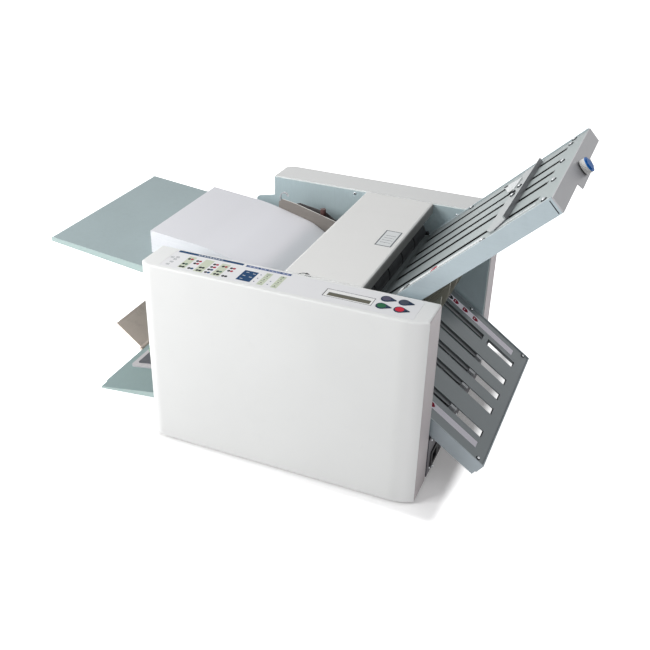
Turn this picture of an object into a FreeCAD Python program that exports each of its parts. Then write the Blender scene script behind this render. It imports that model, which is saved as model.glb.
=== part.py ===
import FreeCAD, Part
import math
import os

# Desk paper folding machine: a sheet goes in from the tray on the left, buckles into the upper
# and the lower fold plate on the right, and leaves folded over the chute at the lower left.
# X runs along the sheet's way, Y from the operator's side to the rear, Z up. Lengths are in mm.

# Housings and side frames
clear_width = 350.0
front_depth = 66.0
rear_depth = 61.0
housing_top = 314.0
foot_height = 5.0
front_length = 446.0
rear_left_inset = 25.0
rear_right_inset = 6.0
cover_wall = 3.0
left_nose_run = 20.0
right_nose_run = 38.0
nose_drop = 11.0
cover_round = 3.0
frame_plate = 3.0
frame_step = 2.0
rear_arm_reach = 33.0
rear_arm_top = 277.0
rear_arm_slant = 7.0
rear_arm_low = 235.0
rear_arm_nose = 4.0
vent_count = 12
vent_width = 4.0
vent_height = 46.0
vent_pitch = 11.0
vent_left = 48.0
vent_rise = 60.0
foot_radius = 13.0
foot_inset = 42.0

# Clearances and the overrun that every cut uses
fit = 0.05
gap = 0.3
overrun = 2.0

# Base
pan_rise = 4.0
pan_sheet = 2.0
pan_left_flange = 26.0
pan_left_inset = 37.0
pan_right_inset = 2.0
end_panel_height = 70.0
end_panel_sheet = 3.0
bend = 1.5

# Cross bars between the side frames
bar_radius = 6.0
low_bar_x = -150.0
low_bar_z = 60.0
table_bar_x = -160.0
table_bar_z = 205.0
right_bar_inset = 51.0
right_bar_z = 45.0

# Fold rollers and their gears
roller_x = 80.0
roller_z = 222.0
gear_module = 1.5
gear_teeth = 28
gear_width = 10.0
gear_gap = 4.0
tooth_rise_share = 0.75
tooth_fall_share = 1.1
tooth_tip_share = 0.22
tooth_root_share = 0.62
nip_gap = 0.3
shaft_radius = 5.0
shaft_tail = 6.0
roller_inset = 15.0
roller_bands = 5
roller_groove = 5.0
roller_groove_depth = 1.2
bush_radius = 8.0
bush_flange_radius = 10.5
bush_flange = 1.5
hub_radius = 9.0
hub_length = 4.0

# Belts, pulleys and motor
belt_width = 7.0
belt_thickness = 2.0
pulley_width = 9.0
pulley_flange = 1.0
pulley_flange_rise = 3.5
drive_pulley_radius = 24.0
motor_pulley_radius = 10.0
feed_drive_radius = 14.0
feed_pulley_radius = 16.0
exit_pulley_radius = 8.0
pulley_step = 4.0
motor_x = 40.0
motor_z = 62.0
motor_radius = 34.0
motor_length = 86.0
motor_flange = 5.0
motor_flange_half = 38.0
motor_boss_radius = 14.0
motor_shaft_radius = 4.0

# Feed tray and feed table, one sloping plane
tray_left = -449.0
tray_left_z = 277.0
feed_slope = 0.10
tray_near = 85.0
tray_far = 399.0
tray_sheet = 2.0
tray_lip_left = 8.0
tray_lip_right = 15.0
table_left = -186.0
table_sheet = 1.5
table_flange = 14.0
table_bend_x = 14.0
table_end_x = 56.0
table_end_rise = 9.5

# Feed roller and separator
feed_x = -10.0
feed_radius = 18.0
feed_proud = 1.4
tyre_count = 3
tyre_width = 40.0
tyre_pitch = 78.0
tyre_slot_gap = 2.0
core_radius = 11.0
separator_bar_radius = 5.0
separator_bar_rise = 33.0
separator_width = 44.0
separator_length = 24.0
separator_gap = 3.0

# Side guides, clamp knobs and the loaded stack
paper_width = 216.0
paper_length = 279.0
stack_left = -287.0
stack_height = 38.6
stack_flat = 95.0
stack_mid_x = -117.0
stack_mid_height = 28.0
stack_low_x = -62.0
stack_low_height = 15.0
stack_lead_x = -34.0
stack_lead_height = 4.0
guide_left = -158.0
guide_right = -22.0
guide_sheet = 2.0
guide_rise_left = 52.0
guide_rise_mid = 50.0
guide_rise_right = 33.0
guide_mid_x = -124.0
guide_nose = 7.0
guide_foot = 18.0
guide_room = 9.4
guide_knob_x = -77.0
guide_knob_radius = 5.0
guide_knob_neck = 1.5
guide_knob_height = 47.0
front_guide_share = 0.45
guide_stud_radius = 3.0
guide_nut = 3.0
guide_nut_radius = 6.0

# Top lid
lid_left = -18.0
lid_right = 107.0
lid_sheet = 3.0
lid_lip = 18.0
lid_left_lip = 7.0
lid_pin_x = -13.0
lid_pin_drop = 13.0
lid_pin_radius = 4.0
lid_ear = 3.0
lid_ear_half = 7.0

# Control panel in the top of the front cover
overlay_left = 31.0
overlay_right = 23.0
overlay_near = 8.0
overlay_far = 4.0
overlay_sheet = 0.6
overlay_corner = 4.0
window_inset = 50.0
window_y = 32.0
window_long = 72.0
window_wide = 20.0
window_glass = 2.0
window_set = 0.2
button_inset = 75.0
button_pitch_x = 26.0
button_y = 27.0
button_pitch_y = 22.0
button_radius = 7.6
button_tip = 15.0
button_proud = 0.9
button_travel = 1.2
button_slack = 0.4
button_flange = 1.0
button_flange_height = 1.5
button_stem = 5.5
board_sheet = 1.6
board_drop = 13.5
board_near = 14.0
board_far = 58.0
board_inset = 36.0
board_boss_radius = 4.0
board_boss_inset = 9.0
display_block_margin = 1.5

# Upper fold plate, in its own frame: u along the plate from its mouth, w square to it
plate_sheet = 1.5
sheet_gap = 3.0
rail_sheet = 2.0
rail_depth = 24.0
rail_proud = 1.5
rail_lip = 12.0
ledge = 10.0
side_gap = 0.2
hook_pin_radius = 4.0
hook_pin_u = 6.0
hook_pin_w = 12.0
hook_pin_reach = 3.0
rest_bar_u = 30.0
upper_angle = 43.5
upper_length = 322.0
upper_mouth_dx = 31.4
upper_mouth_dz = 44.3
upper_near = 77.0
upper_far = 388.0
upper_slots_y = [122.8, 186.0, 232.7, 282.4, 341.8]
upper_slot_width = 10.0
upper_slot_start = 12.0
upper_slot_end = 31.0
mouth_flare = 6.0
mouth_flare_rise = 4.0
bracket_sheet = 2.0
bracket_lobe_near = 188.0
bracket_lobe_far = 298.0
bracket_lobe_depth = 35.0
bracket_lobe_bevel = 6.0
bracket_tab = 14.0
bracket_tab_inset = 14.0
knob_y = 243.0
knob_w = 20.0
knob_radius = 11.5
knob_washer = 2.0
knob_washer_radius = 10.0
knob_body = 9.0
knob_cap_radius = 8.5
knob_cap = 1.2
screw_radius = 3.0
screw_foot = 20.0
stop_back = 112.0
stop_plate_length = 32.0
stop_plate = 2.0
stop_lip = 7.5
stop_near = 115.0
stop_far = 368.0
stop_out = 45.0
stop_in = 160.0
stop_finger_length = 8.0
stop_finger_width = 8.0
stop_pointer_length = 21.0
stop_pointer_tip = 6.0
stop_pointer_back = 14.0
nut_width = 24.0
nut_half_height = 5.5

# Lower fold plate
lower_angle = -35.4
lower_pull_angle = 20.0
lower_length = 231.0
lower_mouth_dx = 38.2
lower_mouth_dz = -34.1
lower_near = 74.0
lower_far = 409.0
lower_slots_y = [135.7, 202.0, 247.0, 295.0, 355.4]
lower_slot_width = 18.0
lower_slot_start = 32.0
window_margin = 20.0
window_reach = 82.0
lower_bridge = 10.0
lower_bed_window = 30.0
lower_finger_slot = 7.0
lower_rest_bar_u = 40.0
lower_stop_back = 88.0
lower_stop_length = 12.0
lower_finger_width = 6.0
lower_stop_depth = 12.0
lower_finger_proud = 2.0
lower_stop_margin = 10.0
lower_bevel = 9.0

# Fins between the two plates
fin_count = 7
fin_sheet = 2.0
fin_bar_x = 164.0
fin_bar_z = 238.0
fin_root_x = 150.0
fin_root_low = 214.0
fin_root_high = 232.0
fin_tip_x = 212.0
fin_tip_z = 306.0
fin_belly_x = 196.0
fin_belly_z = 250.0
fin_margin = 30.0

# Exit chute, exit roller and deflector
chute_top_x = 55.0
chute_top_z = 196.0
chute_end_x = -262.0
chute_end_z = 73.0
chute_sheet = 1.5
chute_narrow_x = -178.0
chute_near = 90.0
chute_far = 392.0
chute_lip = 12.0
arm_sheet = 2.0
arm_inset = 72.0
arm_left = -306.0
arm_right = -196.0
arm_low = 62.0
arm_high = 102.0
arm_nose = 14.0
exit_x = -286.0
exit_z = 78.0
exit_radius = 13.0
exit_core = 7.0
exit_shaft_radius = 4.0
exit_tyres = 3
exit_tyre_width = 40.0
exit_tyre_inset = 28.0
exit_stub = 10.0
deflector_x = -299.0
deflector_z = 93.0
deflector_pin_radius = 3.0
deflector_angle = 141.5
deflector_length = 60.0
deflector_sheet = 1.5
deflector_notch = 8.0
deflector_notch_side = 1.0
deflector_near = 97.0
deflector_far = 385.0

# Delivery tray
delivery_left = -377.0
delivery_left_z = 5.0
delivery_slope = 0.16
delivery_near = 76.0
delivery_far = 406.0
delivery_lip_left = 3.4
delivery_lip_right = 16.0
extension_out = 5.0
extension_near = 98.0
extension_far = 384.0
extension_sheet = 1.5
extension_rise = 1.0
extension_length = 150.0
bed_left = -364.0
bed_right = -206.0
bed_near = 150.0
bed_far = 332.0
bed_sheet = 3.0
bed_corner = 8.0
pad_margin = 11.0
pad_right = -232.0
pad_sheet = 2.0

# Power inlet and switch in the right end panel
inlet_y = 102.0
inlet_z = 31.0
inlet_width = 28.0
inlet_height = 22.0
inlet_depth = 24.0
inlet_flange = 4.0
inlet_flange_sheet = 2.0
inlet_wall = 2.5
inlet_pin_radius = 1.6
inlet_pin_pitch = 7.0
inlet_pin_inset = 4.0
switch_offset = 28.0
switch_width = 13.0
switch_height = 19.0
switch_depth = 12.0
rocker_proud = 2.6
rocker_slack = 0.8
rocker_pin_radius = 1.5
rocker_tilt = 8.0

# Lid switch on the rear frame
lid_switch_x = 40.0
lid_switch_z = 288.0
lid_switch_long = 20.0
lid_switch_high = 14.0
lid_switch_deep = 5.5

# Places worked out from the sizes above
front_left = -front_length / 2
front_right = front_length / 2
rear_left = front_left + rear_left_inset
rear_right = front_right - rear_right_inset
inner_near = front_depth
inner_far = front_depth + clear_width
total_depth = inner_far + rear_depth
frame_near = inner_near + frame_plate
frame_far = inner_far - frame_plate
middle_y = (frame_near + frame_far) / 2
frame_top = housing_top - frame_step
gear_pitch_radius = gear_module * gear_teeth / 2
roller_radius = gear_pitch_radius - nip_gap / 2
gear_y = inner_near - gear_gap - gear_width
drive_y = gear_y - pulley_step - pulley_width
feed_y = drive_y - pulley_step - pulley_width
shaft_near = feed_y - shaft_tail
shaft_far = inner_far + shaft_tail
exit_belt_y = frame_far - bush_flange - overrun - pulley_width
roller_near = frame_near + roller_inset
roller_far = frame_far - roller_inset
centre_distance = 2 * gear_pitch_radius
roller_places = {
    1: (roller_x, roller_z + centre_distance),
    2: (roller_x, roller_z),
    3: (roller_x + centre_distance, roller_z),
    4: (roller_x, roller_z - centre_distance),
}


def table_z(x):
    """Height of the feed plane's upper face."""
    return tray_left_z - feed_slope * (x - tray_left)


feed_z = table_z(feed_x) + feed_proud - feed_radius
separator_bar_z = table_z(feed_x) + separator_bar_rise
lid_pin_z = housing_top - lid_pin_drop
pan_left = front_left + pan_left_inset
pan_right = front_right - pan_right_inset
pan_z = foot_height + pan_rise
right_bar_x = pan_right - right_bar_inset
button_x = front_right - button_inset
window_x = button_x - window_inset


def vector_at(angle_degrees, length=1.0):
    angle = math.radians(angle_degrees)
    return FreeCAD.Vector(length * math.cos(angle), 0, length * math.sin(angle))


upper_mouth = FreeCAD.Vector(roller_x + upper_mouth_dx, 0, roller_z + upper_mouth_dz)
lower_mouth = FreeCAD.Vector(roller_x + lower_mouth_dx, 0, roller_z + lower_mouth_dz)


def plate_point(mouth, angle, u, w):
    """Place in the machine of a point given along and square to a fold plate."""
    return mouth + vector_at(angle, u) + vector_at(angle + 90, w)


# The origin stands under the middle of the whole machine
knob_tip_u = upper_length + bracket_sheet + knob_washer + knob_body
knob_tip = plate_point(upper_mouth, upper_angle, knob_tip_u, -knob_w - knob_radius)
knob_cap_tip = plate_point(upper_mouth, upper_angle, knob_tip_u + knob_cap, -knob_w - knob_cap_radius)
machine_right = max(knob_tip.x, knob_cap_tip.x)
shift = FreeCAD.Vector(-(tray_left + machine_right) / 2, -total_depth / 2, 0)

pieces = {}


def keep(name, shape):
    pieces[name] = shape.translated(shift)


def block(x0, x1, y0, y1, z0, z1):
    return Part.makeBox(x1 - x0, y1 - y0, z1 - z0, FreeCAD.Vector(x0, y0, z0))


def rod_y(x, z, radius, y0, y1):
    return Part.makeCylinder(radius, y1 - y0, FreeCAD.Vector(x, y0, z), FreeCAD.Vector(0, 1, 0))


def rod_x(y, z, radius, x0, x1):
    return Part.makeCylinder(radius, x1 - x0, FreeCAD.Vector(x0, y, z), FreeCAD.Vector(1, 0, 0))


def rod_z(x, y, radius, z0, z1):
    return Part.makeCylinder(radius, z1 - z0, FreeCAD.Vector(x, y, z0))


def fuse(first, *rest):
    return first.multiFuse(list(rest)).removeSplitter()


def group(shapes):
    return Part.makeCompound(shapes)


def prism_y(points, y0, y1):
    """Closed outline of (x, z) points carried from y0 to y1."""
    corners = [FreeCAD.Vector(x, y0, z) for x, z in points]
    face = Part.Face(Part.makePolygon(corners + corners[:1]))
    return face.extrude(FreeCAD.Vector(0, y1 - y0, 0))


def prism_z(points, z0, z1):
    """Closed outline of (x, y) points carried from z0 to z1."""
    corners = [FreeCAD.Vector(x, y, z0) for x, y in points]
    face = Part.Face(Part.makePolygon(corners + corners[:1]))
    return face.extrude(FreeCAD.Vector(0, 0, z1 - z0))


def prism_of(edges, direction):
    return Part.Face(Part.Wire(Part.__sortEdges__(edges))).extrude(direction)


def line(a, b):
    return Part.LineSegment(a, b).toShape()


def arc(a, b, c):
    return Part.Arc(a, b, c).toShape()


def rounded_block(x0, x1, y0, y1, z0, z1, radius):
    """Plate with rounded corners in plan."""
    plate = block(x0, x1, y0, y1, z0, z1)
    upright = [e for e in plate.Edges if abs(e.Vertexes[0].Z - e.Vertexes[1].Z) > (z1 - z0) / 2]
    return plate.makeFillet(radius, upright)


def turned_y(x, z, y0, steps):
    """Turned piece on a Y axis, from (length, radius) steps starting at y0."""
    corners = [FreeCAD.Vector(x, y0, z)]
    y = y0
    for length, radius in steps:
        corners.append(FreeCAD.Vector(x + radius, y, z))
        y += length
        corners.append(FreeCAD.Vector(x + radius, y, z))
    corners.append(FreeCAD.Vector(x, y, z))
    face = Part.Face(Part.makePolygon(corners + corners[:1]))
    return face.revolve(FreeCAD.Vector(x, y0, z), FreeCAD.Vector(0, 1, 0), 360)


def left_normal(direction):
    return FreeCAD.Vector(-direction.z, 0, direction.x)


def rounded_path(points, radii):
    """Edges along the points, with an arc of the given radius at each inner point."""
    edges = []
    start = points[0]
    for before, corner, after, radius in zip(points, points[1:], points[2:], radii):
        come = (corner - before).normalize()
        leave = (after - corner).normalize()
        turn = come.getAngle(leave)
        if turn * radius < fit:
            edges.append(line(start, corner))
            start = corner
            continue
        reach = radius * math.tan(turn / 2)
        first = corner - come * reach
        last = corner + leave * reach
        inward = (leave - come).normalize()
        centre = corner + inward * (radius / math.cos(turn / 2))
        edges.append(line(start, first))
        edges.append(arc(first, centre - inward * radius, last))
        start = last
    edges.append(line(start, points[-1]))
    return edges


def folded(path, thickness, y0, y1):
    """Sheet folded along (x, z) points, with its thickness to the left of the path."""
    base = [FreeCAD.Vector(x, y0, z) for x, z in path]
    runs = [(b - a).normalize() for a, b in zip(base, base[1:])]
    other = [base[0] + left_normal(runs[0]) * thickness]
    base_radii = []
    other_radii = []
    for corner, come, leave in zip(base[1:], runs, runs[1:]):
        turn = come.getAngle(leave)
        middle = (left_normal(come) + left_normal(leave)).normalize()
        other.append(corner + middle * (thickness / math.cos(turn / 2)))
        base_is_outer = (left_normal(come) * leave > 0) == (thickness > 0)
        base_radii.append(bend if not base_is_outer else bend + abs(thickness))
        other_radii.append(bend if base_is_outer else bend + abs(thickness))
    other.append(base[-1] + left_normal(runs[-1]) * thickness)
    edges = rounded_path(base, base_radii) + rounded_path(other, other_radii)
    edges += [line(base[0], other[0]), line(base[-1], other[-1])]
    return prism_of(edges, FreeCAD.Vector(0, y1 - y0, 0))


def on_plate(shape, mouth, angle):
    """Turns a piece drawn flat, with X along the plate, into its place on the machine."""
    turned = shape.copy()
    turned.rotate(FreeCAD.Vector(0, 0, 0), FreeCAD.Vector(0, 1, 0), -angle)
    return turned.translated(mouth)


def cover_plan(x0, x1, y_open, y_face, z):
    """Plan outline of a side cover, with its broad face curving back to both ends."""
    out = 1 if y_face > y_open else -1
    y_nose = y_face - out * nose_drop

    def nose(x_end, x_flat):
        run = abs(x_flat - x_end)
        radius = (run ** 2 + nose_drop ** 2) / (2 * nose_drop)
        half = math.asin(run / radius) / 2
        side = 1 if x_end > x_flat else -1
        middle = FreeCAD.Vector(
            x_flat + side * radius * math.sin(half), y_face - out * radius * (1 - math.cos(half)), z)
        return arc(FreeCAD.Vector(x_end, y_nose, z), middle, FreeCAD.Vector(x_flat, y_face, z))

    x0_flat = x0 + left_nose_run
    x1_flat = x1 - right_nose_run
    return [
        line(FreeCAD.Vector(x0, y_open, z), FreeCAD.Vector(x0, y_nose, z)),
        nose(x0, x0_flat),
        line(FreeCAD.Vector(x0_flat, y_face, z), FreeCAD.Vector(x1_flat, y_face, z)),
        nose(x1, x1_flat),
        line(FreeCAD.Vector(x1, y_nose, z), FreeCAD.Vector(x1, y_open, z)),
        line(FreeCAD.Vector(x1, y_open, z), FreeCAD.Vector(x0, y_open, z)),
    ]


def cover_shell(x0, x1, y_open, y_face):
    """Moulded side cover: rounded outside, hollow, open towards the frame."""
    out = 1 if y_face > y_open else -1
    body = prism_of(
        cover_plan(x0, x1, y_open, y_face, foot_height),
        FreeCAD.Vector(0, 0, housing_top - foot_height))
    rim = [
        e for e in body.Edges
        if min(v.Z for v in e.Vertexes) > housing_top - fit
        and abs(e.CenterOfMass.y - y_open) > fit
    ]
    body = body.makeFillet(cover_round, rim)
    hollow = prism_of(
        cover_plan(
            x0 + cover_wall, x1 - cover_wall, y_open - out * overrun, y_face - out * cover_wall,
            foot_height + cover_wall),
        FreeCAD.Vector(0, 0, housing_top - foot_height - 2 * cover_wall))
    return body.cut(hollow)


def teardrop(x, y, grow, z0, z1):
    """Key outline: a round end with a point to the right, grown evenly by a margin."""
    radius = button_radius + grow
    tip = button_tip * radius / button_radius
    angle = math.acos(radius / tip)
    centre = FreeCAD.Vector(x, y, z0)
    upper = centre + FreeCAD.Vector(radius * math.cos(angle), radius * math.sin(angle), 0)
    lower = centre + FreeCAD.Vector(radius * math.cos(angle), -radius * math.sin(angle), 0)
    point = centre + FreeCAD.Vector(tip, 0, 0)
    back = centre - FreeCAD.Vector(radius, 0, 0)
    edges = [arc(upper, back, lower), line(lower, point), line(point, upper)]
    return prism_of(edges, FreeCAD.Vector(0, 0, z1 - z0))


button_places = {
    "count_button": (button_x, button_y + button_pitch_y),
    "test_button": (button_x + button_pitch_x, button_y + button_pitch_y),
    "start_button": (button_x, button_y),
    "stop_button": (button_x + button_pitch_x, button_y),
}
cover_inside_z = housing_top - cover_wall
board_top = housing_top - board_drop
board_left = front_left + board_inset
board_right = front_right - board_inset
window_x0 = window_x - window_long / 2
window_x1 = window_x + window_long / 2
window_y0 = window_y - window_wide / 2
window_y1 = window_y + window_wide / 2
panel_x0 = front_left + overlay_left
panel_x1 = front_right - overlay_right
panel_y0 = overlay_near
panel_y1 = front_depth - overlay_far


def panel_openings(z0, z1):
    cuts = [teardrop(x, y, button_slack, z0, z1) for x, y in button_places.values()]
    cuts.append(block(
        window_x0 - fit, window_x1 + fit, window_y0 - fit, window_y1 + fit, z0, z1))
    return cuts


def front_cover():
    shell = cover_shell(front_left, front_right, front_depth, 0)
    recess = rounded_block(
        panel_x0 - gap, panel_x1 + gap, panel_y0 - gap, panel_y1 + gap,
        housing_top - overlay_sheet, housing_top + overrun, overlay_corner + gap)
    cuts = [recess] + panel_openings(cover_inside_z - overrun, housing_top + overrun)
    bosses = []
    for x in (board_left + board_boss_inset, window_x0 - board_boss_inset):
        for y in (board_near + board_boss_inset, board_far - board_boss_inset):
            bosses.append(rod_z(x, y, board_boss_radius, board_top, cover_inside_z))
    return fuse(shell.cut(cuts[0]).cut(group(cuts[1:])), *bosses)


def rear_cover():
    shell = cover_shell(rear_left, rear_right, inner_far, total_depth)
    vents = []
    for i in range(vent_count):
        x = rear_left + vent_left + i * vent_pitch
        vents.append(block(
            x, x + vent_width, total_depth - cover_wall - overrun, total_depth + overrun,
            vent_rise, vent_rise + vent_height))
    return shell.cut(group(vents))


def control_overlay():
    sheet = rounded_block(
        panel_x0, panel_x1, panel_y0, panel_y1, housing_top - overlay_sheet, housing_top,
        overlay_corner)
    return sheet.cut(group(panel_openings(housing_top - overrun, housing_top + overrun)))


def display_window():
    top = housing_top - window_set
    return block(
        window_x0, window_x1, window_y0, window_y1, top - window_glass, top)


def control_board():
    board = block(
        board_left, board_right, board_near, board_far, board_top - board_sheet, board_top)
    display = block(
        window_x0 + display_block_margin, window_x1 - display_block_margin,
        window_y0 + display_block_margin, window_y1 - display_block_margin,
        board_top, housing_top - window_set - window_glass)
    return fuse(board, display)


def button(x, y):
    key_top = housing_top + button_proud
    flange_top = cover_inside_z - gap
    key = teardrop(x, y, 0, flange_top - button_flange_height, key_top)
    flange = teardrop(x, y, button_flange, flange_top - button_flange_height, flange_top)
    stem_z = board_top + button_travel + gap
    stem = rod_z(x, y, button_stem, stem_z, flange_top - button_flange_height)
    return fuse(key, flange, stem)


def hook_pins(mouth, angle, near, far):
    """Short pins on the side frames that the rails of a fold plate hook over."""
    place = plate_point(mouth, angle, hook_pin_u, -hook_pin_w)
    reach = rail_sheet + hook_pin_reach
    return [
        rod_y(place.x, place.z, hook_pin_radius, frame_near, near + reach),
        rod_y(place.x, place.z, hook_pin_radius, far - reach, frame_far),
    ]


def rest_bar_place(mouth, angle, u):
    return plate_point(mouth, angle, u, -rail_depth - gap - bar_radius)


def tie_bars():
    upper = rest_bar_place(upper_mouth, upper_angle, rest_bar_u)
    lower = rest_bar_place(lower_mouth, lower_angle, lower_rest_bar_u)
    places = [
        (low_bar_x, low_bar_z), (table_bar_x, table_bar_z), (right_bar_x, right_bar_z),
        (upper.x, upper.z), (lower.x, lower.z), (fin_bar_x, fin_bar_z),
    ]
    bars = [rod_y(x, z, bar_radius, frame_near, frame_far) for x, z in places]
    bars += hook_pins(upper_mouth, upper_angle, upper_near, upper_far)
    bars += hook_pins(lower_mouth, lower_angle, lower_near, lower_far)
    return group(bars)


shaft_places = list(roller_places.values()) + [(feed_x, feed_z)]


def side_frame(x0, x1, y0, y1):
    plate = block(
        x0 + frame_step, x1 - frame_step, y0, y1, foot_height + frame_step, frame_top)
    holes = [
        rod_y(x, z, bush_radius + fit, y0 - overrun, y1 + overrun) for x, z in shaft_places
    ]
    holes.append(rod_y(lid_pin_x, lid_pin_z, lid_pin_radius + fit, y0 - overrun, y1 + overrun))
    return plate, holes


def front_frame():
    plate, holes = side_frame(front_left, front_right, inner_near, frame_near)
    holes.append(rod_y(motor_x, motor_z, motor_boss_radius, inner_near - overrun, frame_near + overrun))
    return plate.cut(group(holes))


def rear_frame():
    """Plate with a short arm that reaches out to the left under the feed tray."""
    plate, holes = side_frame(rear_left, rear_right, frame_far, inner_far)
    root = rear_left + frame_step
    tip = root - rear_arm_reach
    arm = prism_y(
        [(root, rear_arm_low), (root, rear_arm_top), (tip, rear_arm_top - rear_arm_slant),
         (tip - rear_arm_nose, rear_arm_top - rear_arm_slant - rear_arm_nose),
         (tip - rear_arm_nose, rear_arm_low + rear_arm_nose), (tip, rear_arm_low)],
        frame_far, inner_far)
    return fuse(plate, arm).cut(group(holes))


def roller_bushes():
    bushes = []
    for x, z in shaft_places:
        bore = rod_y(x, z, shaft_radius + fit, inner_near - overrun, inner_far + overrun)
        near = turned_y(x, z, inner_near, [(frame_plate, bush_radius), (bush_flange, bush_flange_radius)])
        far = turned_y(
            x, z, frame_far - bush_flange, [(bush_flange, bush_flange_radius), (frame_plate, bush_radius)])
        bushes += [near.cut(bore), far.cut(bore)]
    return group(bushes)


def base_pan():
    path = [
        (pan_left, pan_z + pan_left_flange), (pan_left, pan_z), (pan_right, pan_z),
    ]
    return folded(path, pan_sheet, frame_near, frame_far)


def end_panel():
    plate = block(
        pan_right, pan_right + end_panel_sheet, frame_near, frame_far, pan_z, pan_z + end_panel_height)
    for y, width, height in (
            (inlet_y, inlet_width, inlet_height), (inlet_y + switch_offset, switch_width, switch_height)):
        plate = plate.cut(block(
            pan_right - overrun, pan_right + end_panel_sheet + overrun,
            y - width / 2 - fit, y + width / 2 + fit,
            inlet_z - height / 2 - fit, inlet_z + height / 2 + fit))
    return plate


def module_body(y, width, height, depth):
    """Box that fills a cut-out of the end panel, with a flange on the outer face."""
    face = pan_right + end_panel_sheet
    body = block(
        face - depth, face, y - width / 2, y + width / 2, inlet_z - height / 2, inlet_z + height / 2)
    rim = block(
        face, face + inlet_flange_sheet,
        y - width / 2 - inlet_flange, y + width / 2 + inlet_flange,
        inlet_z - height / 2 - inlet_flange, inlet_z + height / 2 + inlet_flange)
    recess = block(
        face - depth + inlet_wall, face + inlet_flange_sheet + overrun,
        y - width / 2 + inlet_wall, y + width / 2 - inlet_wall,
        inlet_z - height / 2 + inlet_wall, inlet_z + height / 2 - inlet_wall)
    return fuse(body, rim).cut(recess)


def power_inlet():
    face = pan_right + end_panel_sheet
    socket = module_body(inlet_y, inlet_width, inlet_height, inlet_depth)
    pins = [
        rod_x(inlet_y + k * inlet_pin_pitch, inlet_z + (inlet_pin_inset if k == 0 else 0),
              inlet_pin_radius, face - inlet_depth + inlet_wall - fit, face - inlet_pin_inset)
        for k in (-1, 0, 1)
    ]
    switch_y = inlet_y + switch_offset
    frame = module_body(switch_y, switch_width, switch_height, switch_depth)
    pivot = Part.makeCylinder(
        rocker_pin_radius + fit, switch_width + 2 * overrun,
        FreeCAD.Vector(rocker_x, switch_y - switch_width / 2 - overrun, inlet_z), FreeCAD.Vector(0, 1, 0))
    return group([fuse(socket, *pins), frame.cut(pivot)])


rocker_x = pan_right + end_panel_sheet - inlet_wall


def power_switch():
    """Rocker with a shallow valley in its face, on a cross pin."""
    face = pan_right + end_panel_sheet + inlet_flange_sheet
    y = inlet_y + switch_offset
    half = switch_height / 2 - inlet_wall - rocker_slack
    outline = [
        (rocker_x - inlet_wall, inlet_z - half / 2), (face + rocker_proud, inlet_z - half),
        (face, inlet_z), (face + rocker_proud, inlet_z + half), (rocker_x - inlet_wall, inlet_z + half / 2),
    ]
    side = switch_width / 2 - inlet_wall - gap
    rocker = prism_y(outline, y - side, y + side)
    pin = rod_y(rocker_x, inlet_z, rocker_pin_radius, y - switch_width / 2, y + switch_width / 2)
    lever = fuse(rocker, pin)
    lever.rotate(FreeCAD.Vector(rocker_x, y, inlet_z), FreeCAD.Vector(0, 1, 0), rocker_tilt)
    return lever


def rubber_feet():
    rear_y = (inner_far + total_depth) / 2
    places = [
        (front_left + foot_inset, front_depth / 2), (front_right - foot_inset, front_depth / 2),
        (rear_left + foot_inset, rear_y), (rear_right - foot_inset, rear_y),
    ]
    return group([rod_z(x, y, foot_radius, 0, foot_height) for x, y in places])


def feed_tray():
    """Sloping sheet with a wedge lip along both sides and a low lip at its outer end."""
    right = table_left
    top = folded(
        [(tray_left, table_z(tray_left) - tray_lip_left), (tray_left, table_z(tray_left)),
         (right, table_z(right)), (right, table_z(right) - table_flange)],
        -tray_sheet, tray_near, tray_far)
    side = [
        (tray_left, table_z(tray_left) - tray_lip_left), (tray_left, table_z(tray_left) - tray_sheet / 2),
        (right, table_z(right) - tray_sheet / 2), (right, table_z(right) - tray_lip_right),
    ]
    near = prism_y(side, tray_near, tray_near + tray_sheet)
    far = prism_y(side, tray_far - tray_sheet, tray_far)
    return fuse(top, near, far)


def feed_table():
    """Feed plane inside the machine, turned up towards the first nip, slotted for the tyres."""
    end_z = table_z(table_bend_x) + table_end_rise
    plate = folded(
        [(table_left, table_z(table_left) - table_flange), (table_left, table_z(table_left)),
         (table_bend_x, table_z(table_bend_x)), (table_end_x, end_z)],
        -table_sheet, frame_near, frame_far)
    cuts = []
    for i in range(tyre_count):
        y = middle_y + (i - (tyre_count - 1) / 2) * tyre_pitch
        half = feed_radius + tyre_slot_gap
        cuts.append(block(
            feed_x - half, feed_x + half, y - tyre_width / 2 - tyre_slot_gap,
            y + tyre_width / 2 + tyre_slot_gap, feed_z, housing_top))
    for y0, y1 in guide_slots():
        cuts.append(block(
            guide_knob_x - guide_stud_radius - gap, guide_knob_x + guide_stud_radius + gap,
            y0, y1, feed_z, housing_top))
    return plate.cut(group(cuts))


fence_far = middle_y + paper_width / 2 + gap
fence_near = middle_y - paper_width / 2 - gap
knob_far_y = fence_far + guide_sheet + guide_foot / 2
knob_near_y = fence_near - guide_sheet - guide_foot / 2
guide_travel = knob_near_y - guide_stud_radius - gap - guide_room - frame_near


def guide_slots():
    slack = guide_stud_radius + gap
    return [
        (knob_near_y - guide_travel - slack, knob_near_y + slack),
        (knob_far_y - slack, knob_far_y + guide_travel + slack),
    ]


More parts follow.
